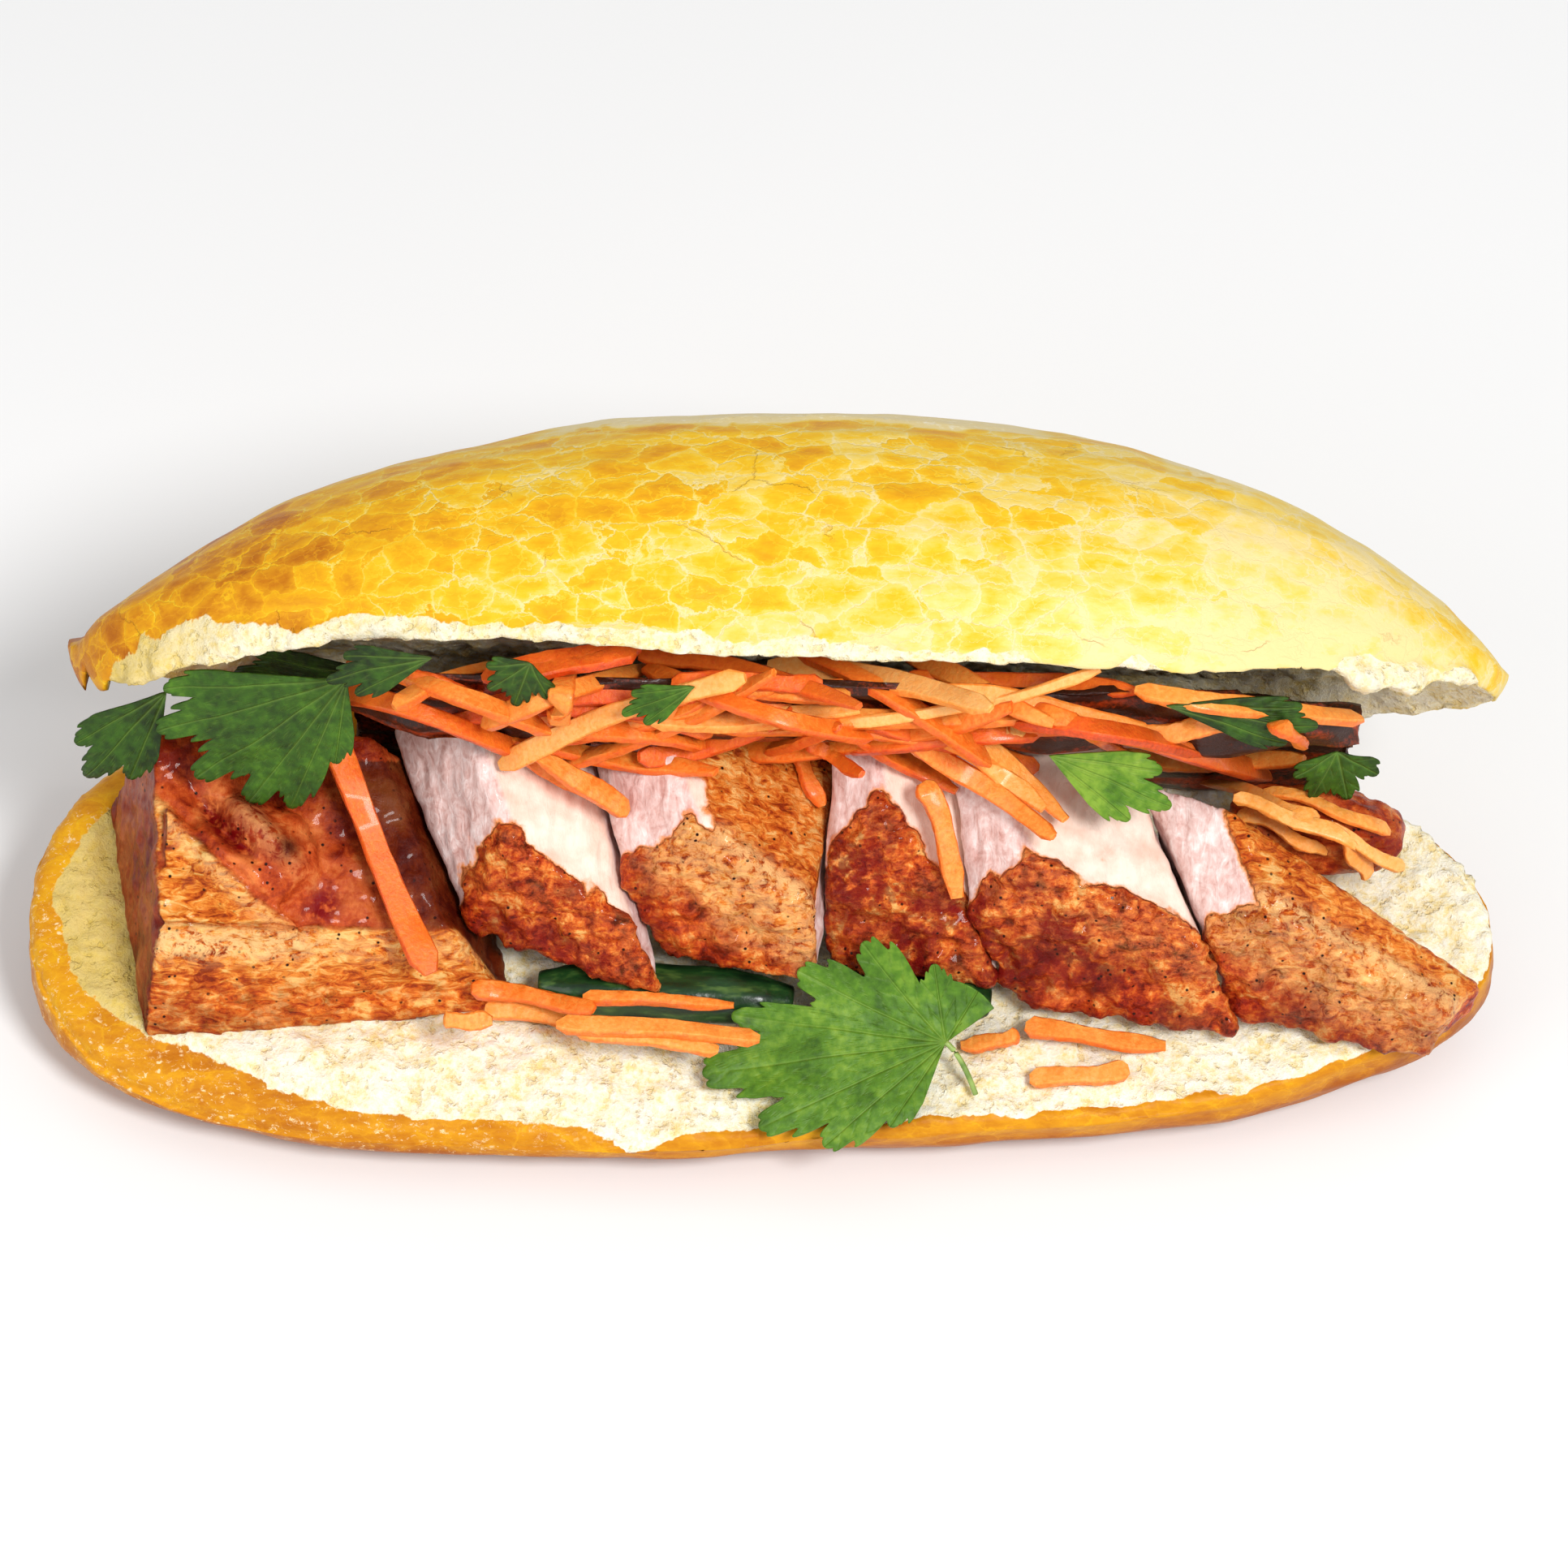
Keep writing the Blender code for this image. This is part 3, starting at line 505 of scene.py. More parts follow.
def cucumber_surface():
    """Cucumber: wet dark skin with pale flecks, translucent flesh under it."""
    s = Surface("cucumber", roughness=0.3, Specular_IOR_Level=0.3, Coat_Weight=0.2,
                Coat_Roughness=0.15)
    skin = s.ramp(s.noise(2.2, 3, 0.6, s.vector("MULTIPLY", s.place, (0.3, 1, 1))),
                  (0.35, srgb(12, 32, 14)), (0.55, srgb(28, 62, 26)), (0.72, srgb(78, 108, 48)))
    flesh = s.ramp(s.noise(3, 3), (0.35, srgb(150, 112, 48)), (0.65, srgb(206, 168, 92)))
    colour = s.mix(s.span(s.number("skin"), 0.4, 0.6), flesh, skin)
    return s.use(colour, s.bump(s.noise(1.6, 3), 0.12))


def stem_surface():
    s = Surface("coriander_stem", roughness=0.35)
    return s.use(s.ramp(s.noise(3, 2), (0.3, srgb(96, 128, 52)), (0.7, srgb(158, 182, 96))),
                 s.bump(s.noise(1, 2), 0.05))


def floor_surface():
    s = Surface("pale_floor", roughness=0.9)
    return s.use(s.ramp(s.noise(400, 2), (0.3, (0.86, 0.86, 0.86, 1)), (0.7, (0.88, 0.88, 0.88, 1))))


# The roll


def bake_level(x, h, upper):
    """How lightly the crust is baked, from 0 for brown to 1 for straw."""
    across = (x + 115) / 230
    front = 1 - np.clip(h / 44, 0, 1)
    dome = 0.20 + 0.40 * across + 0.46 * front**1.3 * step(x, -75, 0) + 0.06 * hill(x, 75, 40)
    dome += 0.10 * hill(x, -50, 26) - 0.26 * step(x, 96, 114) + 0.10 * step(h, 12, 34)
    base = -0.02 + 0.26 * step(h, -8, -2) + 0.10 * step(-x, 96, 112) - 0.07 * step(-h, 12, 22)
    return np.where(upper, dome, base)


def rim_roll(x):
    """How far the crust of the lower half rolls over its rim."""
    return 3.0 + 5.6 * hill(x, -92, 26) + 1.6 * hill(x, -40, 30) - 0.9 * step(x, 62, 90)


def rim_distance(x, s, rim):
    """How far each place on the cut face is from the rim."""
    tree = KDTree(len(rim))
    for i, (rim_x, rim_s) in enumerate(rim):
        tree.insert((rim_x, rim_s, 0), i)
    tree.balance()
    return np.array([tree.find((a, b, 0))[2] for a, b in zip(x, s)])


def slanted(points):
    """Places (x, q) of points in the plane that faces the camera."""
    off = points - np.array(CAMERA_TARGET)
    return off[:, 0], off @ np.array(UPWARD)


def roll_rim(x, s, h, lower):
    """Rounds the rim of the lower half: how far each point sinks, and its depth inside the rim."""
    on_face = lower & (h > -0.75) & (s > 6)
    wall = lower & (h <= -0.75) & (h > -2.0) & (s > 6)
    inside = np.full(len(x), -10.0)
    inside[on_face] = rim_distance(x[on_face], s[on_face], np.stack([x[wall], s[wall]], axis=1))
    roll = rim_roll(x)
    depth = roll * 0.62
    t = np.clip(1 - inside / roll, 0, 1)
    sink = np.where(on_face, depth * 0.9 * (1 - np.sqrt(1 - t * t)), 0)
    side = lower & ~on_face & (s > 6) & (h > -depth)
    sink = np.where(side, (h + depth) * 0.9, sink)
    return sink, inside - roll


def make_roll():
    """The bread: crust outside, torn crumb on both cut faces and in a band over each rim."""
    piece = fine_copy("bread", "roll", 0.85, 3)
    mesh = piece.data
    points, normals = points_of(mesh), normals_of(mesh)
    x, low_s, low_h = seat_axes(points, LOWER_TILT)
    _, up_s, up_h = seat_axes(points, -UPPER_TILT)
    upper = (up_h > -0.8) & (low_h > 0)
    rough = layers(points, 7, 3, 5)
    band = 3.6 - 1.5 * step(x, -30, 10) - 1.2 * step(x, 20, 50) + 2.6 * hill(x, -88, 10)
    band += 1.4 * hill(x, -64, 5) + 1.2 * hill(x, 2, 5) + 2.4 * step(x, 84, 92) + rough * 1.5
    band -= 2.6 * step(-x, 94, 108) + 3.0 * step(x, 106, 112)
    torn_upper = (1 - step(up_h, band - 0.7, band + 0.7)) * (up_s > 3)
    torn_upper = np.maximum(torn_upper, (up_h < 0.4) & (up_s > 3))
    sink, inside = roll_rim(x, low_s, low_h, ~upper)
    tear = 3.4 * hill(x, -19, 5) + 2.2 * step(x, 98, 110)
    torn_lower = step(inside + 0.9 + tear + rough * 1.0, -0.7, 0.7) * (low_s > 3) * (low_h > -3.5)
    crumb = np.where(upper, torn_upper, torn_lower)

    fluff = layers(points, 5, 3, 11) * 0.6 + np.abs(waves(points, 2.2, 17)) * 0.9
    swell = 1.5 * hill(low_s, 64, 7) * step(-x, 0, 30) * (~upper)
    hanging = upper * hill(up_s, 54, 12) * (5.0 * hill(x, 91, 4) + 3.4 * hill(x, 98, 3))
    skin = layers(points, 26, 3, 23) * 0.6 + waves(points, (9, 4, 4), 29) * 0.14
    skin += (~upper) * waves(points, (12, 3, 2), 33) * 0.22
    cut_face = np.where(upper, hill(up_h, 0, 1.5), hill(low_h, 0, 1.5))
    inset = np.where(upper, 0.3 + 0.9 * cut_face, 0.2)
    face = upper & (up_h < 0.75) & (up_s > 6)
    wall = upper & (up_h >= 0.75) & (up_h < 2.0) & (up_s > 6)
    under = np.zeros(len(x))
    under[face] = rim_distance(x[face], up_s[face], np.stack([x[wall], up_s[wall]], axis=1))
    hollow = 5.0 * step(under, -3, 14) * step(up_s, 8, 20)
    column = np.clip(((x + 120) / 4).astype(int), 0, 60)
    brink = np.zeros(len(x))
    for i in range(61):
        here = (column == i) & upper & (up_h < 3)
        if here.any():
            brink[column == i] = up_s[here].max()
    sag = 3.4 * step(-x, 62, 90) + 2.6 * step(-x, 90, 98)
    sag += 1.8 * step(x, -42, -6) * (1 - step(x, 62, 84))
    sag *= upper * (1 - step(up_h, 1, 8)) * (1 - step(brink - up_s, 3, 11))
    move = crumb * (fluff - inset + (swell + hanging) * cut_face) + (1 - crumb) * skin - hollow
    down = np.array([0, math.sin(math.radians(LOWER_TILT)), -math.cos(math.radians(LOWER_TILT))])
    ahead = np.array([0, -math.sin(math.radians(UPPER_TILT)), -math.cos(math.radians(UPPER_TILT))])
    points = points + normals * move[:, None] + down * sink[:, None] + ahead * sag[:, None]
    points[:, 2] = np.maximum(points[:, 2], 0.0)
    set_points(mesh, points)

    _, q = slanted(points)
    crest = np.zeros(len(x))
    for i in range(61):
        here = column == i
        if here.any():
            crest[here] = q[here].max()
    along = step(x, -42, -30) * (1 - step(x, 34, 44)) + hill(x, 67, 5)
    facing = -(normals @ np.array(INWARD))
    ear = along * step(q - crest + 2.6 + rough * 0.8, 0, 0.8) * step(facing, -0.2, -0.08)
    ear *= up_h > 20
    level = bake_level(x, np.where(upper, up_h, low_h), upper)
    paint(mesh, "crumb", np.maximum(crumb, 0.42 * ear))
    paint(mesh, "bake", level + 0.6 * ear)
    paint(mesh, "plates", np.where(upper, (1.0 - 0.25 * step(x, 10, 70)) * (1 - ear), 0.35))
    flour = (~upper) * step(-x, 15, 55) * (low_h < 2) * (1 - step(-low_h, 16, 24)) * (low_s > 20)
    paint(mesh, "flour", flour)
    # painted shade on the crumb: behind the meat's end piece on the lower half, and over the upper half's
    # crumb, more towards its left end
    shade_behind_meat = step(-x, 90, 100) * step(low_s, 4, 20) * (1 - step(low_s, 52, 74))
    shade = 0.85 * (~upper) * shade_behind_meat + upper * (0.2 + 0.6 * step(-x, 78, 104))
    paint(mesh, "shade", shade)
    return finish_piece(piece, bread_surface(), "bread", "bread")


# The meat


def roast(mesh, **numbers):
    """Keeps the numbers that the meat's material reads; those not given are 0."""
    for name in ("rind", "top", "crimson", "ochre", "glaze", "pale", "dark"):
        paint(mesh, name, np.zeros(len(mesh.vertices)) + numbers.get(name, 0.0))


def make_slice(node, surface):
    """One slice: fibrous cut face, smooth or roasted top and rough browned front."""
    roasted, pale, red = SLICES[node]
    piece = fine_copy(node, node + "_roast", 0.6, 3)
    mesh = piece.data
    points, normals = points_of(mesh), normals_of(mesh)
    front = depth_under(points, main_face(node, (0.1, -1, 0.15)))
    cut = depth_under(points, main_face(node, (-0.9, -0.25, 0.5)))
    top = depth_under(points, main_face(node, (0.35, 0.0, 1)))
    rough = layers(points, 5, 3, 31)
    edge = 2.2 + 1.5 * rough
    rind = 1 - step(front, edge - 1.3, edge + 1.0)
    if node == "meat_slice_6":
        end = depth_under(points, main_face(node, (1, -1, 0)))
        rind = np.maximum(rind, 1 - step(end, edge - 0.8, edge + 0.8))
    over = (1 - step(top, 0.4, 2.4)) * step(cut, 0.8, 2.6)
    skin = np.zeros(len(points))
    if roasted:
        skin = over * step(cut + rough * 1.5, 1.5, 5)
        rind = np.maximum(rind, skin * 0.95)
    face = 1 - step(front, 2, 4)
    crust = layers(points, 3.0, 4, 37) * 0.95 + 0.5
    fibres = waves(points, (1.2, 5, 3), 41) * 0.28 + waves(points, 6, 43) * 0.35
    move = rind * crust * (0.35 + 0.65 * face) + (1 - rind) * fibres
    set_points(mesh, points + normals * move[:, None])
    low = step(top + rough * 2, 5, 14)
    crimson = red * face * step(waves(points, 8, 47) + 0.3 * low, 0.0, 0.5)
    roast(mesh, rind=rind, top=step(over, 0.2, 0.8), crimson=crimson,
          ochre=np.maximum(0.85 * skin * (1 - face), 0.8 * pale * face * (1 - low)),
          glaze=np.maximum(0.3 * face * low, 0.15 * skin * (1 - face)),
          # the upper front is paler by slice; on roasted tops a painted highlight runs along the front edge
          pale=0.5 * pale * face * (1 - low) + 0.5 * skin * hill(front, 2.5, 1.6),
          dark=0.35 * face * low * step(waves(points, 6, 48), -0.2, 0.4))
    return finish_piece(piece, surface, "roast_meat", node)


def make_end_piece(surface):
    """The end piece: a browned skin in front, a flap of it over a crimson hollow, a glazed top."""
    node = "meat_end_piece"
    piece = fine_copy(node, "end_piece_roast", 0.6, 3)
    mesh = piece.data
    points, normals = points_of(mesh), normals_of(mesh)
    x, q = slanted(points)
    rough = layers(points, 6, 4, 53)
    ridges = waves(points, (9, 1.5, 1.5), 59)
    front_depth = depth_under(points, main_face(node, (0, -1, 0.35)))
    front = 1 - step(front_depth + rough * 0.8, 1.6, 3.0)
    seen = step(-(normals @ np.array(INWARD)), 0.05, 0.3)
    fold = -24.4 + rough * 0.7
    above = (q + 6.5 + 0.894 * (x + 96.3)) * 0.745 + rough * 0.5
    along = (x + 96.3 - 0.894 * (q + 6.5)) * 0.745
    flap = seen * (1 - step(above, -0.5, 0.5)) * step(q, fold - 0.4, fold + 0.6) * (x < -74)
    band = front * (1 - step(q, fold - 0.6, fold + 0.4))
    skin = np.maximum(flap, band)
    hollow = seen * hill(above, 4.4, 1.5) * hill(along, 8.5, 6.5)
    lobe = seen * hill(above, 7.4, 1.7) * hill(along, 13, 7)
    # the left-facing side: redder, and painted darker as shade
    side = step(-normals[:, 0], 0.5, 0.85)
    crease = hill(q - fold, 0, 0.6) * front * (x < -72) + hill(above, 0.6, 0.7) * hill(along, 14, 9)
    move = rough * 0.6 + ridges * 0.28 * skin - hollow * 3.6 + lobe * 2.2 - 1.1 * crease
    set_points(mesh, points + normals * move[:, None])
    spot = hill(x, -71.8, 2.8) * hill(q, -21, 3.2) * (1 - skin)
    char = hill(x, -77.4, 1.8) * hill(q, -12, 1.8)
    # painted shade: the glazed top darkens towards slice 2, in the crevice under its overhang
    by_slice = ((x + 62.1) * 0.86 + (q + 4.7) * 0.51) * (1 - skin)
    # painted highlights: a pale streak along the top edge of the front band, and another along the flap's
    # upper edge
    lit = band * hill(q, -27.2, 2.2) * (1 - 0.7 * step(x, -82, -66))
    brow_highlight = flap * hill(above, -1.6, 1.4)
    # dark: painted shade near slice 2, on the left-facing side and in the hollow under the flap's edge; also
    # a dark char spot, and darker towards the bottom of the front band
    deep = 0.8 * step(by_slice, -17, 0) * (1 - skin) * (q < 2) + 0.9 * char + 0.4 * side
    deep += 0.25 * band * (1 - step(q, -42, -36)) + 0.7 * hill(above, 2.0, 1.1) * hollow
    ochre = 0.95 * band * (1 - 0.6 * (1 - step(q, -38, -29))) + 0.9 * flap
    roast(mesh, rind=1.0, ochre=np.clip(ochre, 0, 1) * (1 - 0.9 * side),
          glaze=np.clip(0.9 * (1 - skin) + side, 0, 1),
          crimson=np.clip(1.7 * hollow + 1.3 * spot + 0.3 * lobe + 0.35 * side, 0, 1),
          pale=np.clip(lit * 1.3 + 0.5 * brow_highlight + 0.4 * lobe, 0, 1) * (1 - side),
          dark=np.clip(deep, 0, 1))
    return finish_piece(piece, surface, "roast_meat", node)


def make_lump(node, surface):
    piece = fine_copy(node, node + "_roast", 0.8, 2)
    mesh = piece.data
    points, normals = points_of(mesh), normals_of(mesh)
    move = layers(points, 5, 3, 61) * 0.9
    set_points(mesh, points + normals * move[:, None])
    roast(mesh, rind=0.8, crimson=0.35, ochre=0.25, glaze=0.5)
    return finish_piece(piece, surface, "roast_meat", node)


# Carrot

# Where the larger shreds lie: both ends (x, q), width, lift over what is below, bow and tone
SHREDS = [
    (-68.6, 17.4, -36.4, 7.1, 3.1, 1.6, 0.8, 0.55),
    (-71.7, 13.3, -39.9, 3.5, 3.2, 1.4, 0.9, 0.75),
    (-44.3, 1.8, -6.3, 16.0, 3.3, 2.8, 1.5, 0.25),
    (-58.2, 14.9, -46.7, 11.8, 3.0, 0.6, 0.0, 0.8),
    (-40.9, 15.3, -23.1, 19.5, 3.0, 0.8, 0.0, 0.85),
    (-23.2, 19.5, 11.0, 12.0, 3.0, 1.0, 1.6, 0.75),
    (-33.5, 17.0, -34.9, 8.4, 3.6, 0.6, 0.0, 0.5),
    (-42.0, 3.5, -24.4, -4.8, 3.4, 1.4, 0.6, 0.6),
    (-20.8, 9.0, 11.4, 11.8, 3.2, 2.2, -0.6, 0.25),
    (-3.1, 18.3, 31.0, 12.3, 3.8, 2.6, 1.2, 0.18),
    (-2.8, 5.1, 8.3, 8.9, 3.0, 1.4, 0.0, 0.7),
    (1.6, 5.6, 6.0, -3.4, 2.6, 1.0, 0.0, 0.65),
    (3.9, 6.8, 11.9, 1.7, 2.6, 0.8, 0.0, 0.75),
    (9.0, 9.8, 47.8, 18.7, 1.8, 3.8, -1.6, 0.15),
    (4.0, 10.6, 38.6, 11.9, 3.2, 2.6, -0.8, 0.45),
    (17.7, 16.6, 53.6, 15.7, 2.8, 1.2, 0.6, 0.8),
    (24.7, 15.2, 56.4, 8.6, 3.2, 2.4, 1.0, 0.35),
    (54.0, 9.2, 67.7, 11.4, 3.0, 2.2, -0.6, 0.4),
    (9.5, 7.9, 27.0, -0.3, 3.2, 1.6, 0.4, 0.7),
    (18.5, 7.5, 42.0, -7.0, 3.2, 2.4, 0.8, 0.5),
    (24.5, 7.9, 40.3, -2.9, 3.0, 3.2, 0.8, 0.3),
    (27.7, 8.8, 43.8, -4.4, 3.0, 2.6, 1.0, 0.35),
    (37.3, 12.5, 54.6, 5.6, 3.0, 1.4, 0.5, 0.6),
    (51.2, 5.8, 82.2, 6.3, 3.2, 2.6, -0.6, 0.4),
    (53.2, 15.7, 89.4, 12.6, 3.2, 2.2, -0.6, 0.4),
    (74.5, 11.3, 81.1, 7.8, 2.8, 1.2, 0.0, 0.6),
    (30.0, 8.9, 37.2, 9.1, 2.4, 2.2, 0.0, 0.2),
]
FRONT_SHREDS = [
    (-48.5, -33.4, -29.0, -36.3, 3.0, 1.6, 0.2, 0.6),
    (-30.8, -34.3, -7.0, -35.1, 2.2, 1.6, 0.2, 0.5),
    (-52.4, -38.5, -44.7, -38.3, 2.8, 0.6, 0.0, 0.4),
    (-46.4, -36.6, -28.9, -38.9, 3.0, 0.9, 0.2, 0.35),
    (-34.7, -38.6, -2.8, -39.9, 3.2, 1.2, 0.4, 0.4),
    (-31.7, -39.4, -9.2, -41.9, 2.6, 0.7, 0.2, 0.35),
]
RIGHT_SHREDS = [
    (68.0, 2.3, 84.0, -4.0, 2.6, 1.0, 0.5, 0.3),
    (70.5, -0.5, 90.0, -7.5, 2.6, 1.6, 0.8, 0.25),
    (76.0, 1.0, 96.0, -5.5, 2.4, 1.2, 0.8, 0.35),
    (80.0, -3.0, 98.5, -11.0, 2.4, 1.8, 0.6, 0.2),
    (72.0, -2.5, 86.0, -9.0, 2.4, 0.8, 0.4, 0.3),
    (88.0, -6.0, 93.0, -12.5, 2.4, 1.4, 0.2, 0.3),
]
LOOSE_SHREDS = {
    "carrot_strip_left": ((-70, 22.5, 37), (-62.5, 37.5, 25.5), (-52.5, 57.5, 17.5), 4.4, 0.75),
    "carrot_strip_on_slice": ((-36.6, 31.2, 40.6), (-30, 33, 36.8), (-22.2, 35.8, 31.8), 3.4, 0.5),
    "carrot_strip_hanging": ((23.6, 31, 35.6), (27, 37, 31.5), (29.4, 45.6, 24.8), 3.6, 0.5),
    "carrot_strip_upturned": ((31, 59.4, 1.8), (36, 59, 2), (40, 58.4, 4), 2.6, 0.45),
    "carrot_strip_right": ((41.2, 56.8, 4), (52, 58.6, 4), (63.4, 59.4, 2.8), 3.2, 0.5),
    "carrot_strip_front": ((42, 64.8, 1.5), (51, 64.4, 1.9), (57.6, 63, 1.5), 3.2, 0.35),
}


def smooth_path(a, b, c, count):
    """Points of the quadratic curve from a through b to c."""
    control = b * 2 - (a + c) / 2
    path = []
    for i in range(count):
        t = i / (count - 1)
        path.append(a * (1 - t) ** 2 + control * 2 * t * (1 - t) + c * t**2)
    return path


def shred(pile, path, width, thick, tone, turn, rng, wave=0.15):
    """One shred of carrot: a flat bar with bevelled edges, pared off thin at both ends."""
    bevel = 0.2 * thick
    last = len(path) - 1
    points, tones = [], []
    lean = math.radians(turn)
    phase = rng.uniform(0, 9)
    tapers = [rng.choice((0.03, 0.05, 0.1, 0.28)) for _ in range(2)]
    for i, middle in enumerate(path):
        along = (path[min(i + 1, last)] - path[max(i - 1, 0)]).normalized()
        towards = (UPWARD * 0.35 - INWARD).normalized()
        across = along.cross(towards).normalized()
        up = across.cross(along)
        across, up = (across * math.cos(lean) + up * math.sin(lean),
                      up * math.cos(lean) - across * math.sin(lean))
        t = i / last
        end = min(1.0, t / tapers[0], (1 - t) / tapers[1])
        size = (0.5 + 0.5 * math.sin(end * math.pi / 2)) * (1 + 0.12 * math.sin(6 * t + phase))
        middle = middle + across * wave * math.sin(9 * t + phase)
        w, d = width / 2 * size, thick / 2 * (0.45 + 0.55 * min(1.0, end * 1.5))
        section = [(w, d - bevel), (w - bevel, d), (bevel - w, d), (-w, d - bevel),
                   (-w, bevel - d), (bevel - w, -d), (w - bevel, -d), (w, bevel - d)]
        for k, (out, rise) in enumerate(section):
            point = middle + across * out + up * rise
            points.append(point + Vector(rng.uniform(-0.09, 0.09) for _ in range(3)))
            tones.append(tone + (0.18 if k in (0, 3, 4, 7) else -0.06) + rng.uniform(-0.06, 0.06))
    faces = [tuple(range(7, -1, -1)), tuple(range(last * 8, last * 8 + 8))]
    for i in range(last):
        for k in range(8):
            n = (k + 1) % 8
            faces.append((i * 8 + k, i * 8 + n, i * 8 + 8 + n, i * 8 + 8 + k))
    pile.add(points, faces, tone=tones)


class Ground:
    """The pieces on which shreds and leaves come to rest."""

    def __init__(self, *pieces):
        points, faces = [], []
        for piece in pieces:
            start = len(points)
            points.extend(Vector(p) for p in points_of(piece.data))
            faces.extend(tuple(i + start for i in p.vertices) for p in piece.data.polygons)
        self.tree = BVHTree.FromPolygons(points, faces)

    def land(self, x, q, lift, otherwise=None):
        """Where a thing let fall at (x, q) comes to rest, and how far it fell."""
        start = CAMERA_TARGET + Vector((x, 0, 0)) + UPWARD * q - INWARD * 200
        hit, _, _, fall = self.tree.ray_cast(start, INWARD)
        if hit is None:
            fall = otherwise if otherwise is not None else 200.0
        return start + INWARD * (fall - lift), fall


def lay_shred(pile, ground, x0, q0, x1, q1, width, lift, bow, tone, rng, thick=1.7, wave=0.15):
    """Lets a shred fall on the ground: it bridges hollows, because it is stiff."""
    count = 20
    falls, fall = [], None
    spots = []
    for i in range(count):
        t = i / (count - 1)
        x, q = x0 + (x1 - x0) * t, q0 + (q1 - q0) * t + bow * 4 * t * (1 - t)
        _, fall = ground.land(x, q, 0, fall)
        falls.append(fall)
        spots.append((x, q))
    ends = np.linspace(0, 1, count)
    straight = np.polyval(np.polyfit(ends, falls, 2), ends)
    straight += min(0.0, float(np.min(np.array(falls) - straight)) * 0.7)
    path = []
    for (x, q), depth in zip(spots, straight):
        start = CAMERA_TARGET + Vector((x, 0, 0)) + UPWARD * q - INWARD * 200
        path.append(start + INWARD * (depth - lift - thick / 2))
    shred(pile, path, width, thick, tone, rng.uniform(-28, 28), rng, wave)


def make_carrot(ground, surface):
    """The shreds that lie over the heap, and shreds in place of the bundles and the loose strips."""
    rng = random.Random(7)
    heap = Pile()
    for _ in range(26):
        length = rng.uniform(20, 42)
        x, q = rng.uniform(-66 + length / 2, 84 - length / 2), rng.uniform(4, 18)
        angle = math.radians(rng.gauss(0, 15) + (-10 if x > 0 else 4))
        dx, dq = math.cos(angle) * length / 2, math.sin(angle) * length / 2
        lay_shred(heap, ground, x - dx, q - dq, x + dx, q + dq, rng.uniform(3.0, 3.9),
                  rng.uniform(-1.4, 0.0), rng.uniform(-2, 2), rng.uniform(0.45, 0.95), rng)
    for entry in SHREDS:
        lay_shred(heap, ground, *entry, rng)
    finish_piece(heap.piece("carrot_shreds_heap"), surface, "carrot", sharp=40)

    for name, entries, nodes, thick, wave in (
        ("carrot_shreds_front", FRONT_SHREDS, ["carrot_bundle_front"], 1.7, 0.15),
        ("carrot_shreds_far_right", RIGHT_SHREDS, ["carrot_shreds_right", "carrot_bundle_middle"],
         1.0, 0.5),
    ):
        pile = Pile()
        for entry in entries:
            lay_shred(pile, ground, *entry, rng, thick, wave)
        finish_piece(pile.piece(name), surface, "carrot", *nodes, sharp=40)

    for node, (a, b, c, width, tone) in LOOSE_SHREDS.items():
        pile = Pile()
        path = smooth_path(seat_place(*a), seat_place(*b), seat_place(*c), 20)
        shred(pile, path, width, 1.7, tone, 10, rng)
        finish_piece(pile.piece(node + "_shred"), surface, "carrot", node, sharp=40)


def make_core(surface):
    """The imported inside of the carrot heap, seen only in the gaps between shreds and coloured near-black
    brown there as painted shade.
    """
    piece = fine_copy("carrot_heap", "carrot_heap_core", 1.2, 6)
    mesh = piece.data
    points, normals = points_of(mesh), normals_of(mesh)
    move = -1.6 + waves(points, (7, 2.4, 2.4), 71) * 0.8
    set_points(mesh, points + normals * move[:, None])
    # painted shade: a high tone makes the core near-black brown
    paint(mesh, "tone", 1.6 + 0.3 * waves(points, (9, 2, 2), 73))
    return finish_piece(piece, surface, "carrot", "carrot_heap")


# Coriander

# Lobes: angle from the leaf's middle line, length as a share of the leaf, half width in degrees
FRONT = ((54, 0.42, 15), (38, 0.66, 14), (22, 0.84, 12), (4, 1.0, 13), (-10, 0.88, 8),
         (-27, 0.66, 14), (-50, 0.5, 19), (-84, 0.3, 24), (-126, 0.22, 26))
FAN = ((-34, 0.84, 10), (-19, 0.95, 12), (0, 0.96, 12), (16, 0.9, 12), (28, 0.84, 10),
       (40, 0.5, 14))
NARROW = ((-16, 0.8, 14), (0, 1.0, 12), (16, 0.84, 14))
SLIM = ((-9, 0.85, 9), (0, 1.0, 9), (9, 0.85, 9))
ROUND = ((-56, 0.74, 24), (-22, 0.95, 20), (10, 1.0, 20), (48, 0.8, 24))
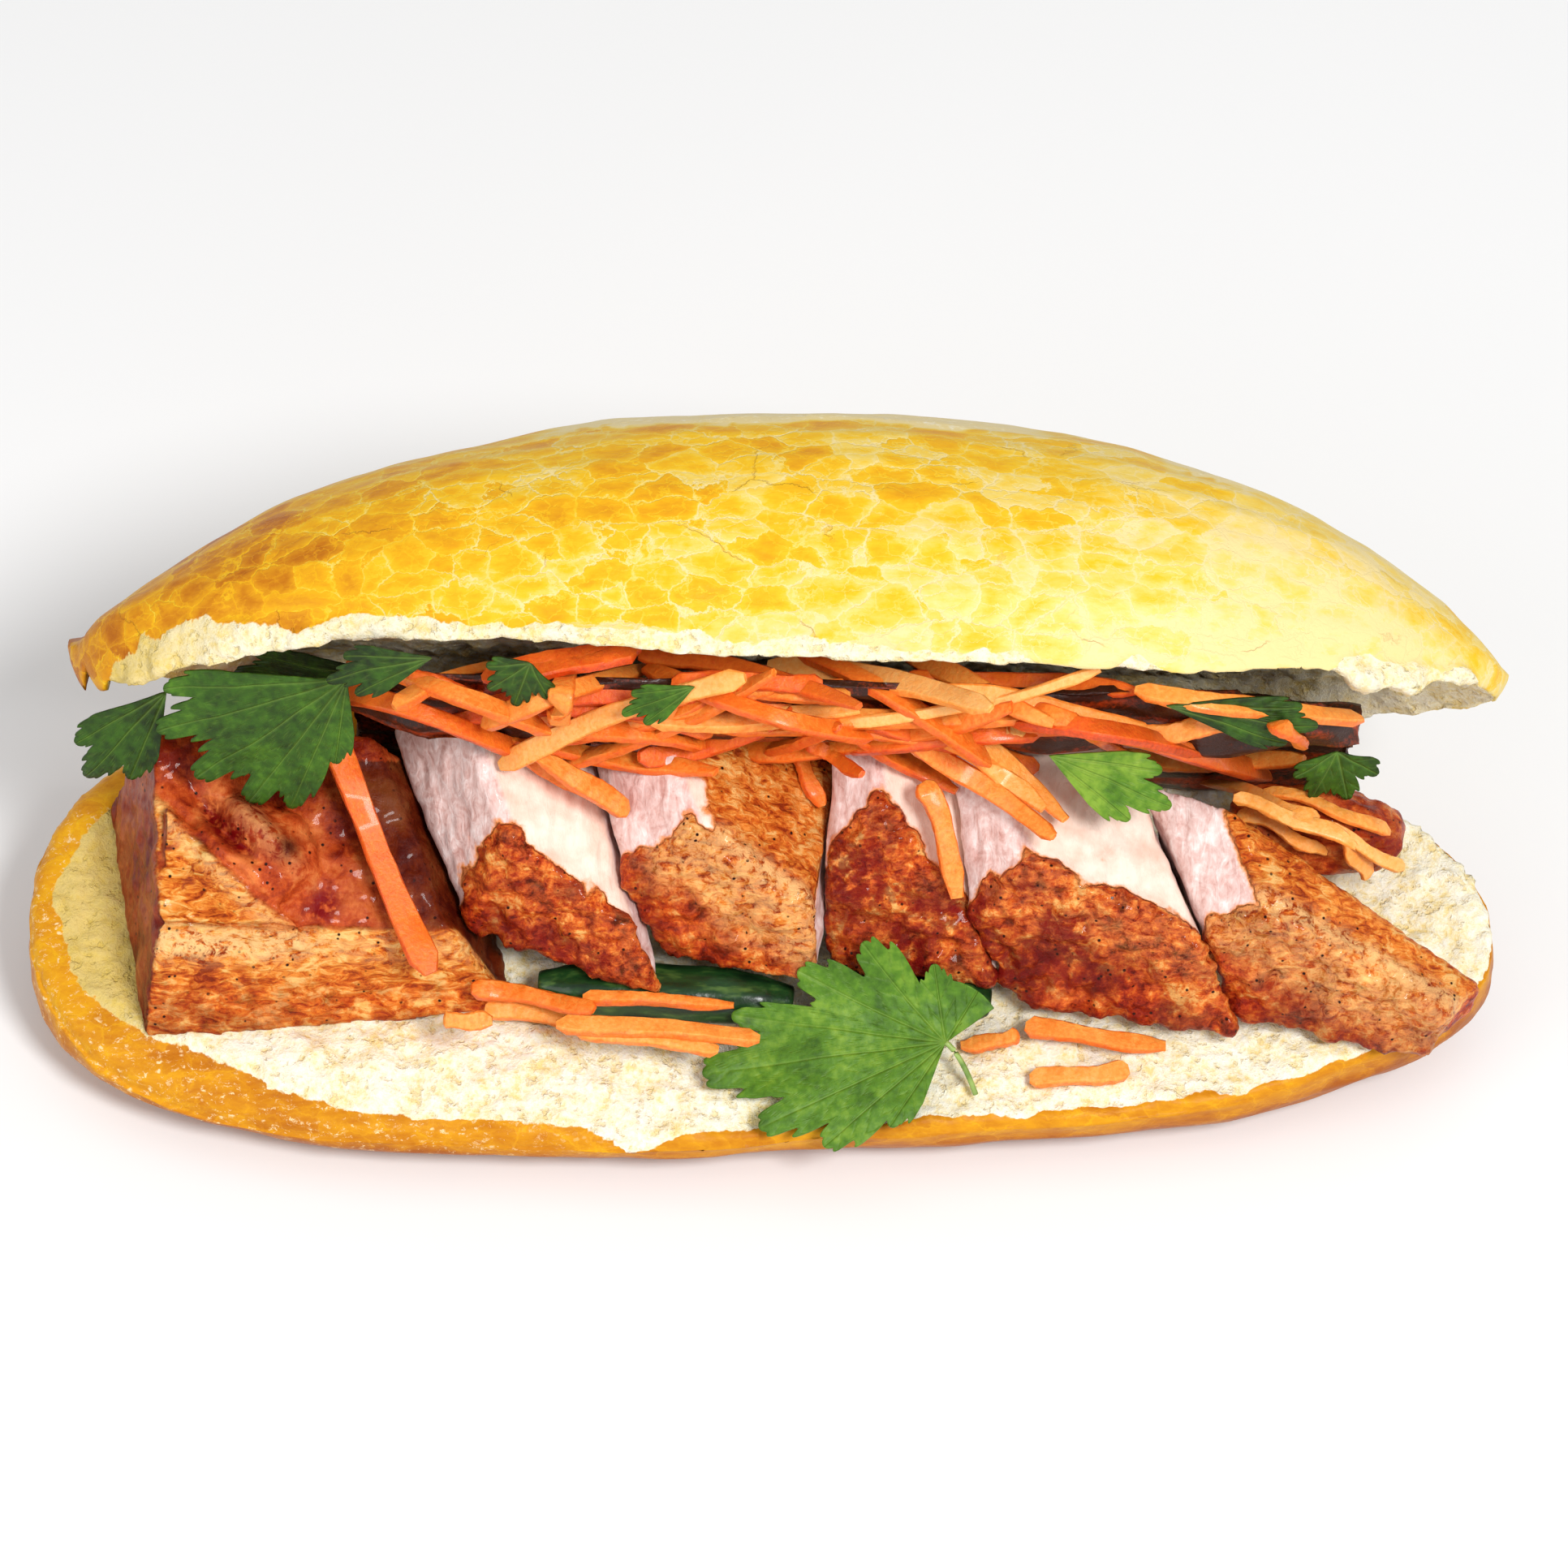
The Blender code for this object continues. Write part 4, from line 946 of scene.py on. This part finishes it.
# Leaves: base, tip and facing in the lower seat, lobes, droop, curl, points around, painted shade (darker
# green for leaves in shadow, lighter below 0)
LEAVES = {
    "coriander_front": ((28.5, 61.8, 7.0), (-10, 64.5, 5.6), (0.02, 0.2, 0.97), FRONT,
                        -0.02, 0.036, 420, 0.0),
    "coriander_left": ((-65.6, 26, 54), (-91, 33.2, 31.8), (-0.1, 0.95, 0.3), FAN,
                       -0.04, 0, 300, 0.5),
    "coriander_left_low": ((-94, 24.5, 46.2), (-107.8, 30.2, 27.8), (-0.1, 0.95, 0.3), NARROW,
                           -0.04, 0, 160, 0.7),
    "coriander_right": ((88.5, 23, 34.4), (89.2, 26.2, 23.8), (0.1, 0.95, 0.3), ROUND,
                        -0.04, 0, 160, 0.5),
    "coriander_under_bread_left": ((-52, 29, 66.2), (-68, 29.8, 61), (0, 0.93, 0.36), NARROW,
                                   0, 0, 140, 0.8),
    "coriander_centre_left": ((-37, 29.4, 66), (-41, 31.6, 58), (0, 0.86, 0.5), ROUND,
                              0, 0, 140, 0.8),
    "coriander_centre": ((-12, 30.4, 62), (-23, 32.6, 57), (0, 0.86, 0.5), NARROW, 0, 0, 140, 0.3),
    "coriander_under_strips": ((42.7, 32.5, 47.5), (62, 36, 39.2), (0, 0.82, 0.58), NARROW,
                               0, 0, 140, -0.3),
    "coriander_behind_left": ((-56, 16, 36), (-86, 8, 24), (0, 0.93, 0.36), SLIM,
                              0, 0, 160, 0.9),
    "coriander_under_bread_right": ((60, 30.6, 60.4), (84, 28.4, 51.2), (0, 0.9, 0.43), SLIM,
                                    0, 0, 140, 0.8),
}
LEAF_THICKNESS = 0.4
TOOTH = 2.3


def leaf_edge(angles, lobes, size):
    """How far the leaf's toothed edge is from its base at each angle, in millimetres."""
    reach = np.full(len(angles), 0.24 * size)
    for middle, length, half in lobes:
        off = np.abs(angles - middle) / half
        bump = np.clip(1 - off**2.6, 0, 1) ** 0.5
        tip = 1 - 0.11 * hill(np.abs(off), 0.45, 0.10)
        arc = np.radians(angles - middle) * length * size
        tooth = 1.3 * (1 - np.abs(np.cos(math.pi * arc / TOOTH)) ** 0.4)
        lobe = length * size * (0.26 + 0.74 * bump) * tip - tooth
        reach = np.where(off < 1, np.maximum(reach, lobe), reach)
    return reach


def leaf_veins(forward, side, lobes, size):
    """1 on the veins: one down each lobe, with finer ones that branch off it."""
    radius = np.hypot(forward, side)
    angle = np.degrees(np.arctan2(side, forward))
    vein, nearest = np.zeros(len(forward)), np.full(len(forward), 1e9)
    branch = np.zeros(len(forward))
    for middle, length, _ in lobes:
        turn = np.radians(angle - middle)
        u, v = radius * np.cos(turn), radius * np.sin(turn)
        main = hill(v, 0, 0.24 * (1.1 - 0.6 * np.clip(u / (length * size), 0, 1))) * (u > 0)
        vein = np.maximum(vein, main)
        phase = (u - np.abs(v) * 1.35) / 3.1
        line = hill((phase - np.round(phase)) * 3.1, 0, 0.2) * (np.abs(v) < 5)
        closer = np.abs(v) < nearest
        branch = np.where(closer & (u > 0), line, branch)
        nearest = np.where(closer, np.abs(v), nearest)
    return np.clip(vein + 0.5 * branch * step(nearest, 0.1, 0.5), 0, 1)


def make_leaf(node, surface):
    """A thin leaf with toothed lobes, veins and a slightly quilted blade."""
    base, tip, face, lobes, droop, curl, count, dark = LEAVES[node]
    base, tip = seat_place(*base), seat_place(*tip)
    facing = seat_place(*face) - HINGE
    along = tip - base
    size = along.length
    along.normalize()
    across = facing.cross(along).normalized()
    normal = along.cross(across)
    first = min(middle - half * 0.86 for middle, _, half in lobes)
    last = max(middle + half * 0.86 for middle, _, half in lobes)
    angles = np.linspace(first, last, count)
    reach = leaf_edge(angles, lobes, size)
    rings = max(10, count // 10)
    share = (np.arange(1, rings + 1) / rings) ** 0.8
    radius = share[:, None] * reach[None, :]
    forward = (np.cos(np.radians(angles)) * radius).ravel()
    side = (np.sin(np.radians(angles)) * radius).ravel()
    vein = leaf_veins(forward, side, lobes, size)
    flat = np.stack([forward, side, np.zeros(len(side))], axis=1)
    lift = droop * radius.ravel() ** 2 / size + curl * np.minimum(0, side) ** 2
    lift += waves(flat, 9, 81) * 0.9 * radius.ravel() / size + waves(flat, 3.5, 83) * 0.18
    lift -= vein * 0.12
    a, b, n = (np.array(v) for v in (along, across, normal))
    middle = np.array(base) + forward[:, None] * a + side[:, None] * b + lift[:, None] * n
    sheets = []
    for offset in (LEAF_THICKNESS / 2, -LEAF_THICKNESS / 2):
        root = np.array(base) + offset * n
        sheets.append(np.vstack([root, middle + offset * n]))
    total = len(middle) + 1
    faces = []
    for start, flip in ((0, False), (total, True)):
        sheet = [(start, start + 1 + i, start + 2 + i) for i in range(count - 1)]
        for ring in range(rings - 1):
            for i in range(count - 1):
                k = start + 1 + ring * count + i
                sheet.append((k, k + count, k + count + 1, k + 1))
        faces.extend(tuple(reversed(f)) if flip else f for f in sheet)
    left = [0] + [1 + ring * count for ring in range(rings)]
    outer = [1 + (rings - 1) * count + i for i in range(count)]
    right = [count + ring * count for ring in range(rings)]
    loop = left + outer[1:] + right[:-1][::-1]
    for i, k in enumerate(loop):
        j = loop[(i + 1) % len(loop)]
        faces.append((j, k, k + total, j + total))
    pile = Pile()
    veins = [1.0, *vein] * 2
    pile.add([tuple(p) for p in np.vstack(sheets)], faces, vein=veins, dark=[dark] * len(veins))
    piece = pile.piece(node + "_leaf")
    bm = bmesh.new()
    bm.from_mesh(piece.data)
    bmesh.ops.recalc_face_normals(bm, faces=bm.faces)
    bm.to_mesh(piece.data)
    bm.free()
    nodes = [node] if node in bpy.data.objects else []
    return finish_piece(piece, surface, "coriander", *nodes)


def make_stem(name, a, b, c, radius, surface):
    """A thin round stalk from a through b to c."""
    path = smooth_path(a, b, c, 16)
    points, faces = [], []
    for i, middle in enumerate(path):
        along = (path[min(i + 1, 15)] - path[max(i - 1, 0)]).normalized()
        across = along.orthogonal().normalized()
        up = across.cross(along)
        for k in range(8):
            angle = math.pi * k / 4
            points.append(middle + (across * math.cos(angle) + up * math.sin(angle)) * radius)
    for i in range(15):
        for k in range(8):
            n = (k + 1) % 8
            faces.append((i * 8 + k, i * 8 + n, i * 8 + 8 + n, i * 8 + 8 + k))
    faces.append(tuple(range(7, -1, -1)))
    faces.append(tuple(range(120, 128)))
    pile = Pile()
    pile.add(points, faces)
    return finish_piece(pile.piece(name), surface, "coriander")


def make_cucumber(node, surface):
    piece = fine_copy(node, node + "_wedge", 0.6, 3)
    mesh = piece.data
    points, normals = points_of(mesh), normals_of(mesh)
    low, high = points[:, 2].min(), points[:, 2].max()
    set_points(mesh, points + normals * (waves(points, 6, 91) * 0.35)[:, None])
    _, s, h = seat_axes(points, LOWER_TILT)
    paint(mesh, "skin", step(h + waves(points, 5, 93) * 0.5, 2.2, 3.6))
    return finish_piece(piece, surface, "cucumber", node)


# Camera, floor and light


def make_camera():
    camera = bpy.data.cameras.new("camera")
    camera.sensor_width = 36
    camera.lens = CAMERA_LENS
    camera.clip_start, camera.clip_end = 0.01, 20
    holder = bpy.data.objects.new("camera", camera)
    holder.location = (CAMERA_TARGET - INWARD * CAMERA_DISTANCE) * MM
    holder.rotation_mode = "QUATERNION"
    roll = Quaternion((0, 0, 1), math.radians(CAMERA_ROLL))
    holder.rotation_quaternion = INWARD.to_track_quat("-Z", "Y") @ roll
    bpy.context.scene.collection.objects.link(holder)
    bpy.context.scene.camera = holder


def make_floor():
    mesh = bpy.data.meshes.new("floor")
    bm = bmesh.new()
    bmesh.ops.create_grid(bm, x_segments=1, y_segments=1, size=3.0)
    bm.to_mesh(mesh)
    bm.free()
    floor = new_piece("floor", mesh)
    mesh.materials.append(floor_surface())


def make_light(name, place, target, size, power):
    light = bpy.data.lights.new(name, "AREA")
    light.shape = "DISK"
    light.size = size
    light.energy = power
    holder = bpy.data.objects.new(name, light)
    holder.location = place
    holder.rotation_euler = (Vector(target) - Vector(place)).to_track_quat("-Z", "Y").to_euler()
    bpy.context.scene.collection.objects.link(holder)


def light_scene():
    world = bpy.data.worlds.new("soft_white")
    world.use_nodes = True
    world.node_tree.nodes["Background"].inputs["Color"].default_value = (1, 1, 1, 1)
    world.node_tree.nodes["Background"].inputs["Strength"].default_value = 0.55
    bpy.context.scene.world = world
    middle = (0, 0, 0.04)
    make_light("key", (0.45, -0.75, 1.05), middle, 0.36, 14.0)
    make_light("fill", (-0.9, -0.7, 0.7), middle, 0.9, 4.0)
    bpy.context.scene.view_settings.view_transform = "Standard"


def main():
    make_camera()
    make_floor()
    light_scene()
    roll = make_roll()
    meat = meat_surface()
    slices = [make_slice(node, meat) for node in SLICES]
    end_piece = make_end_piece(meat)
    lumps = [make_lump(node, meat) for node in LUMPS]
    carrot = carrot_surface()
    core = make_core(carrot)
    green = cucumber_surface()
    cucumbers = [make_cucumber(node, green) for node in ("cucumber_left", "cucumber_right")]
    ground = Ground(core, end_piece, *slices, *lumps, *cucumbers)
    make_carrot(ground, carrot)
    leaf = leaf_surface()
    for node in LEAVES:
        make_leaf(node, leaf)
    stem = stem_surface()
    make_stem("front_stem", seat_place(28.5, 61.8, 7.0), seat_place(31, 64, 5.0),
              seat_place(33.5, 68, 1.4), 0.45, stem)


main()
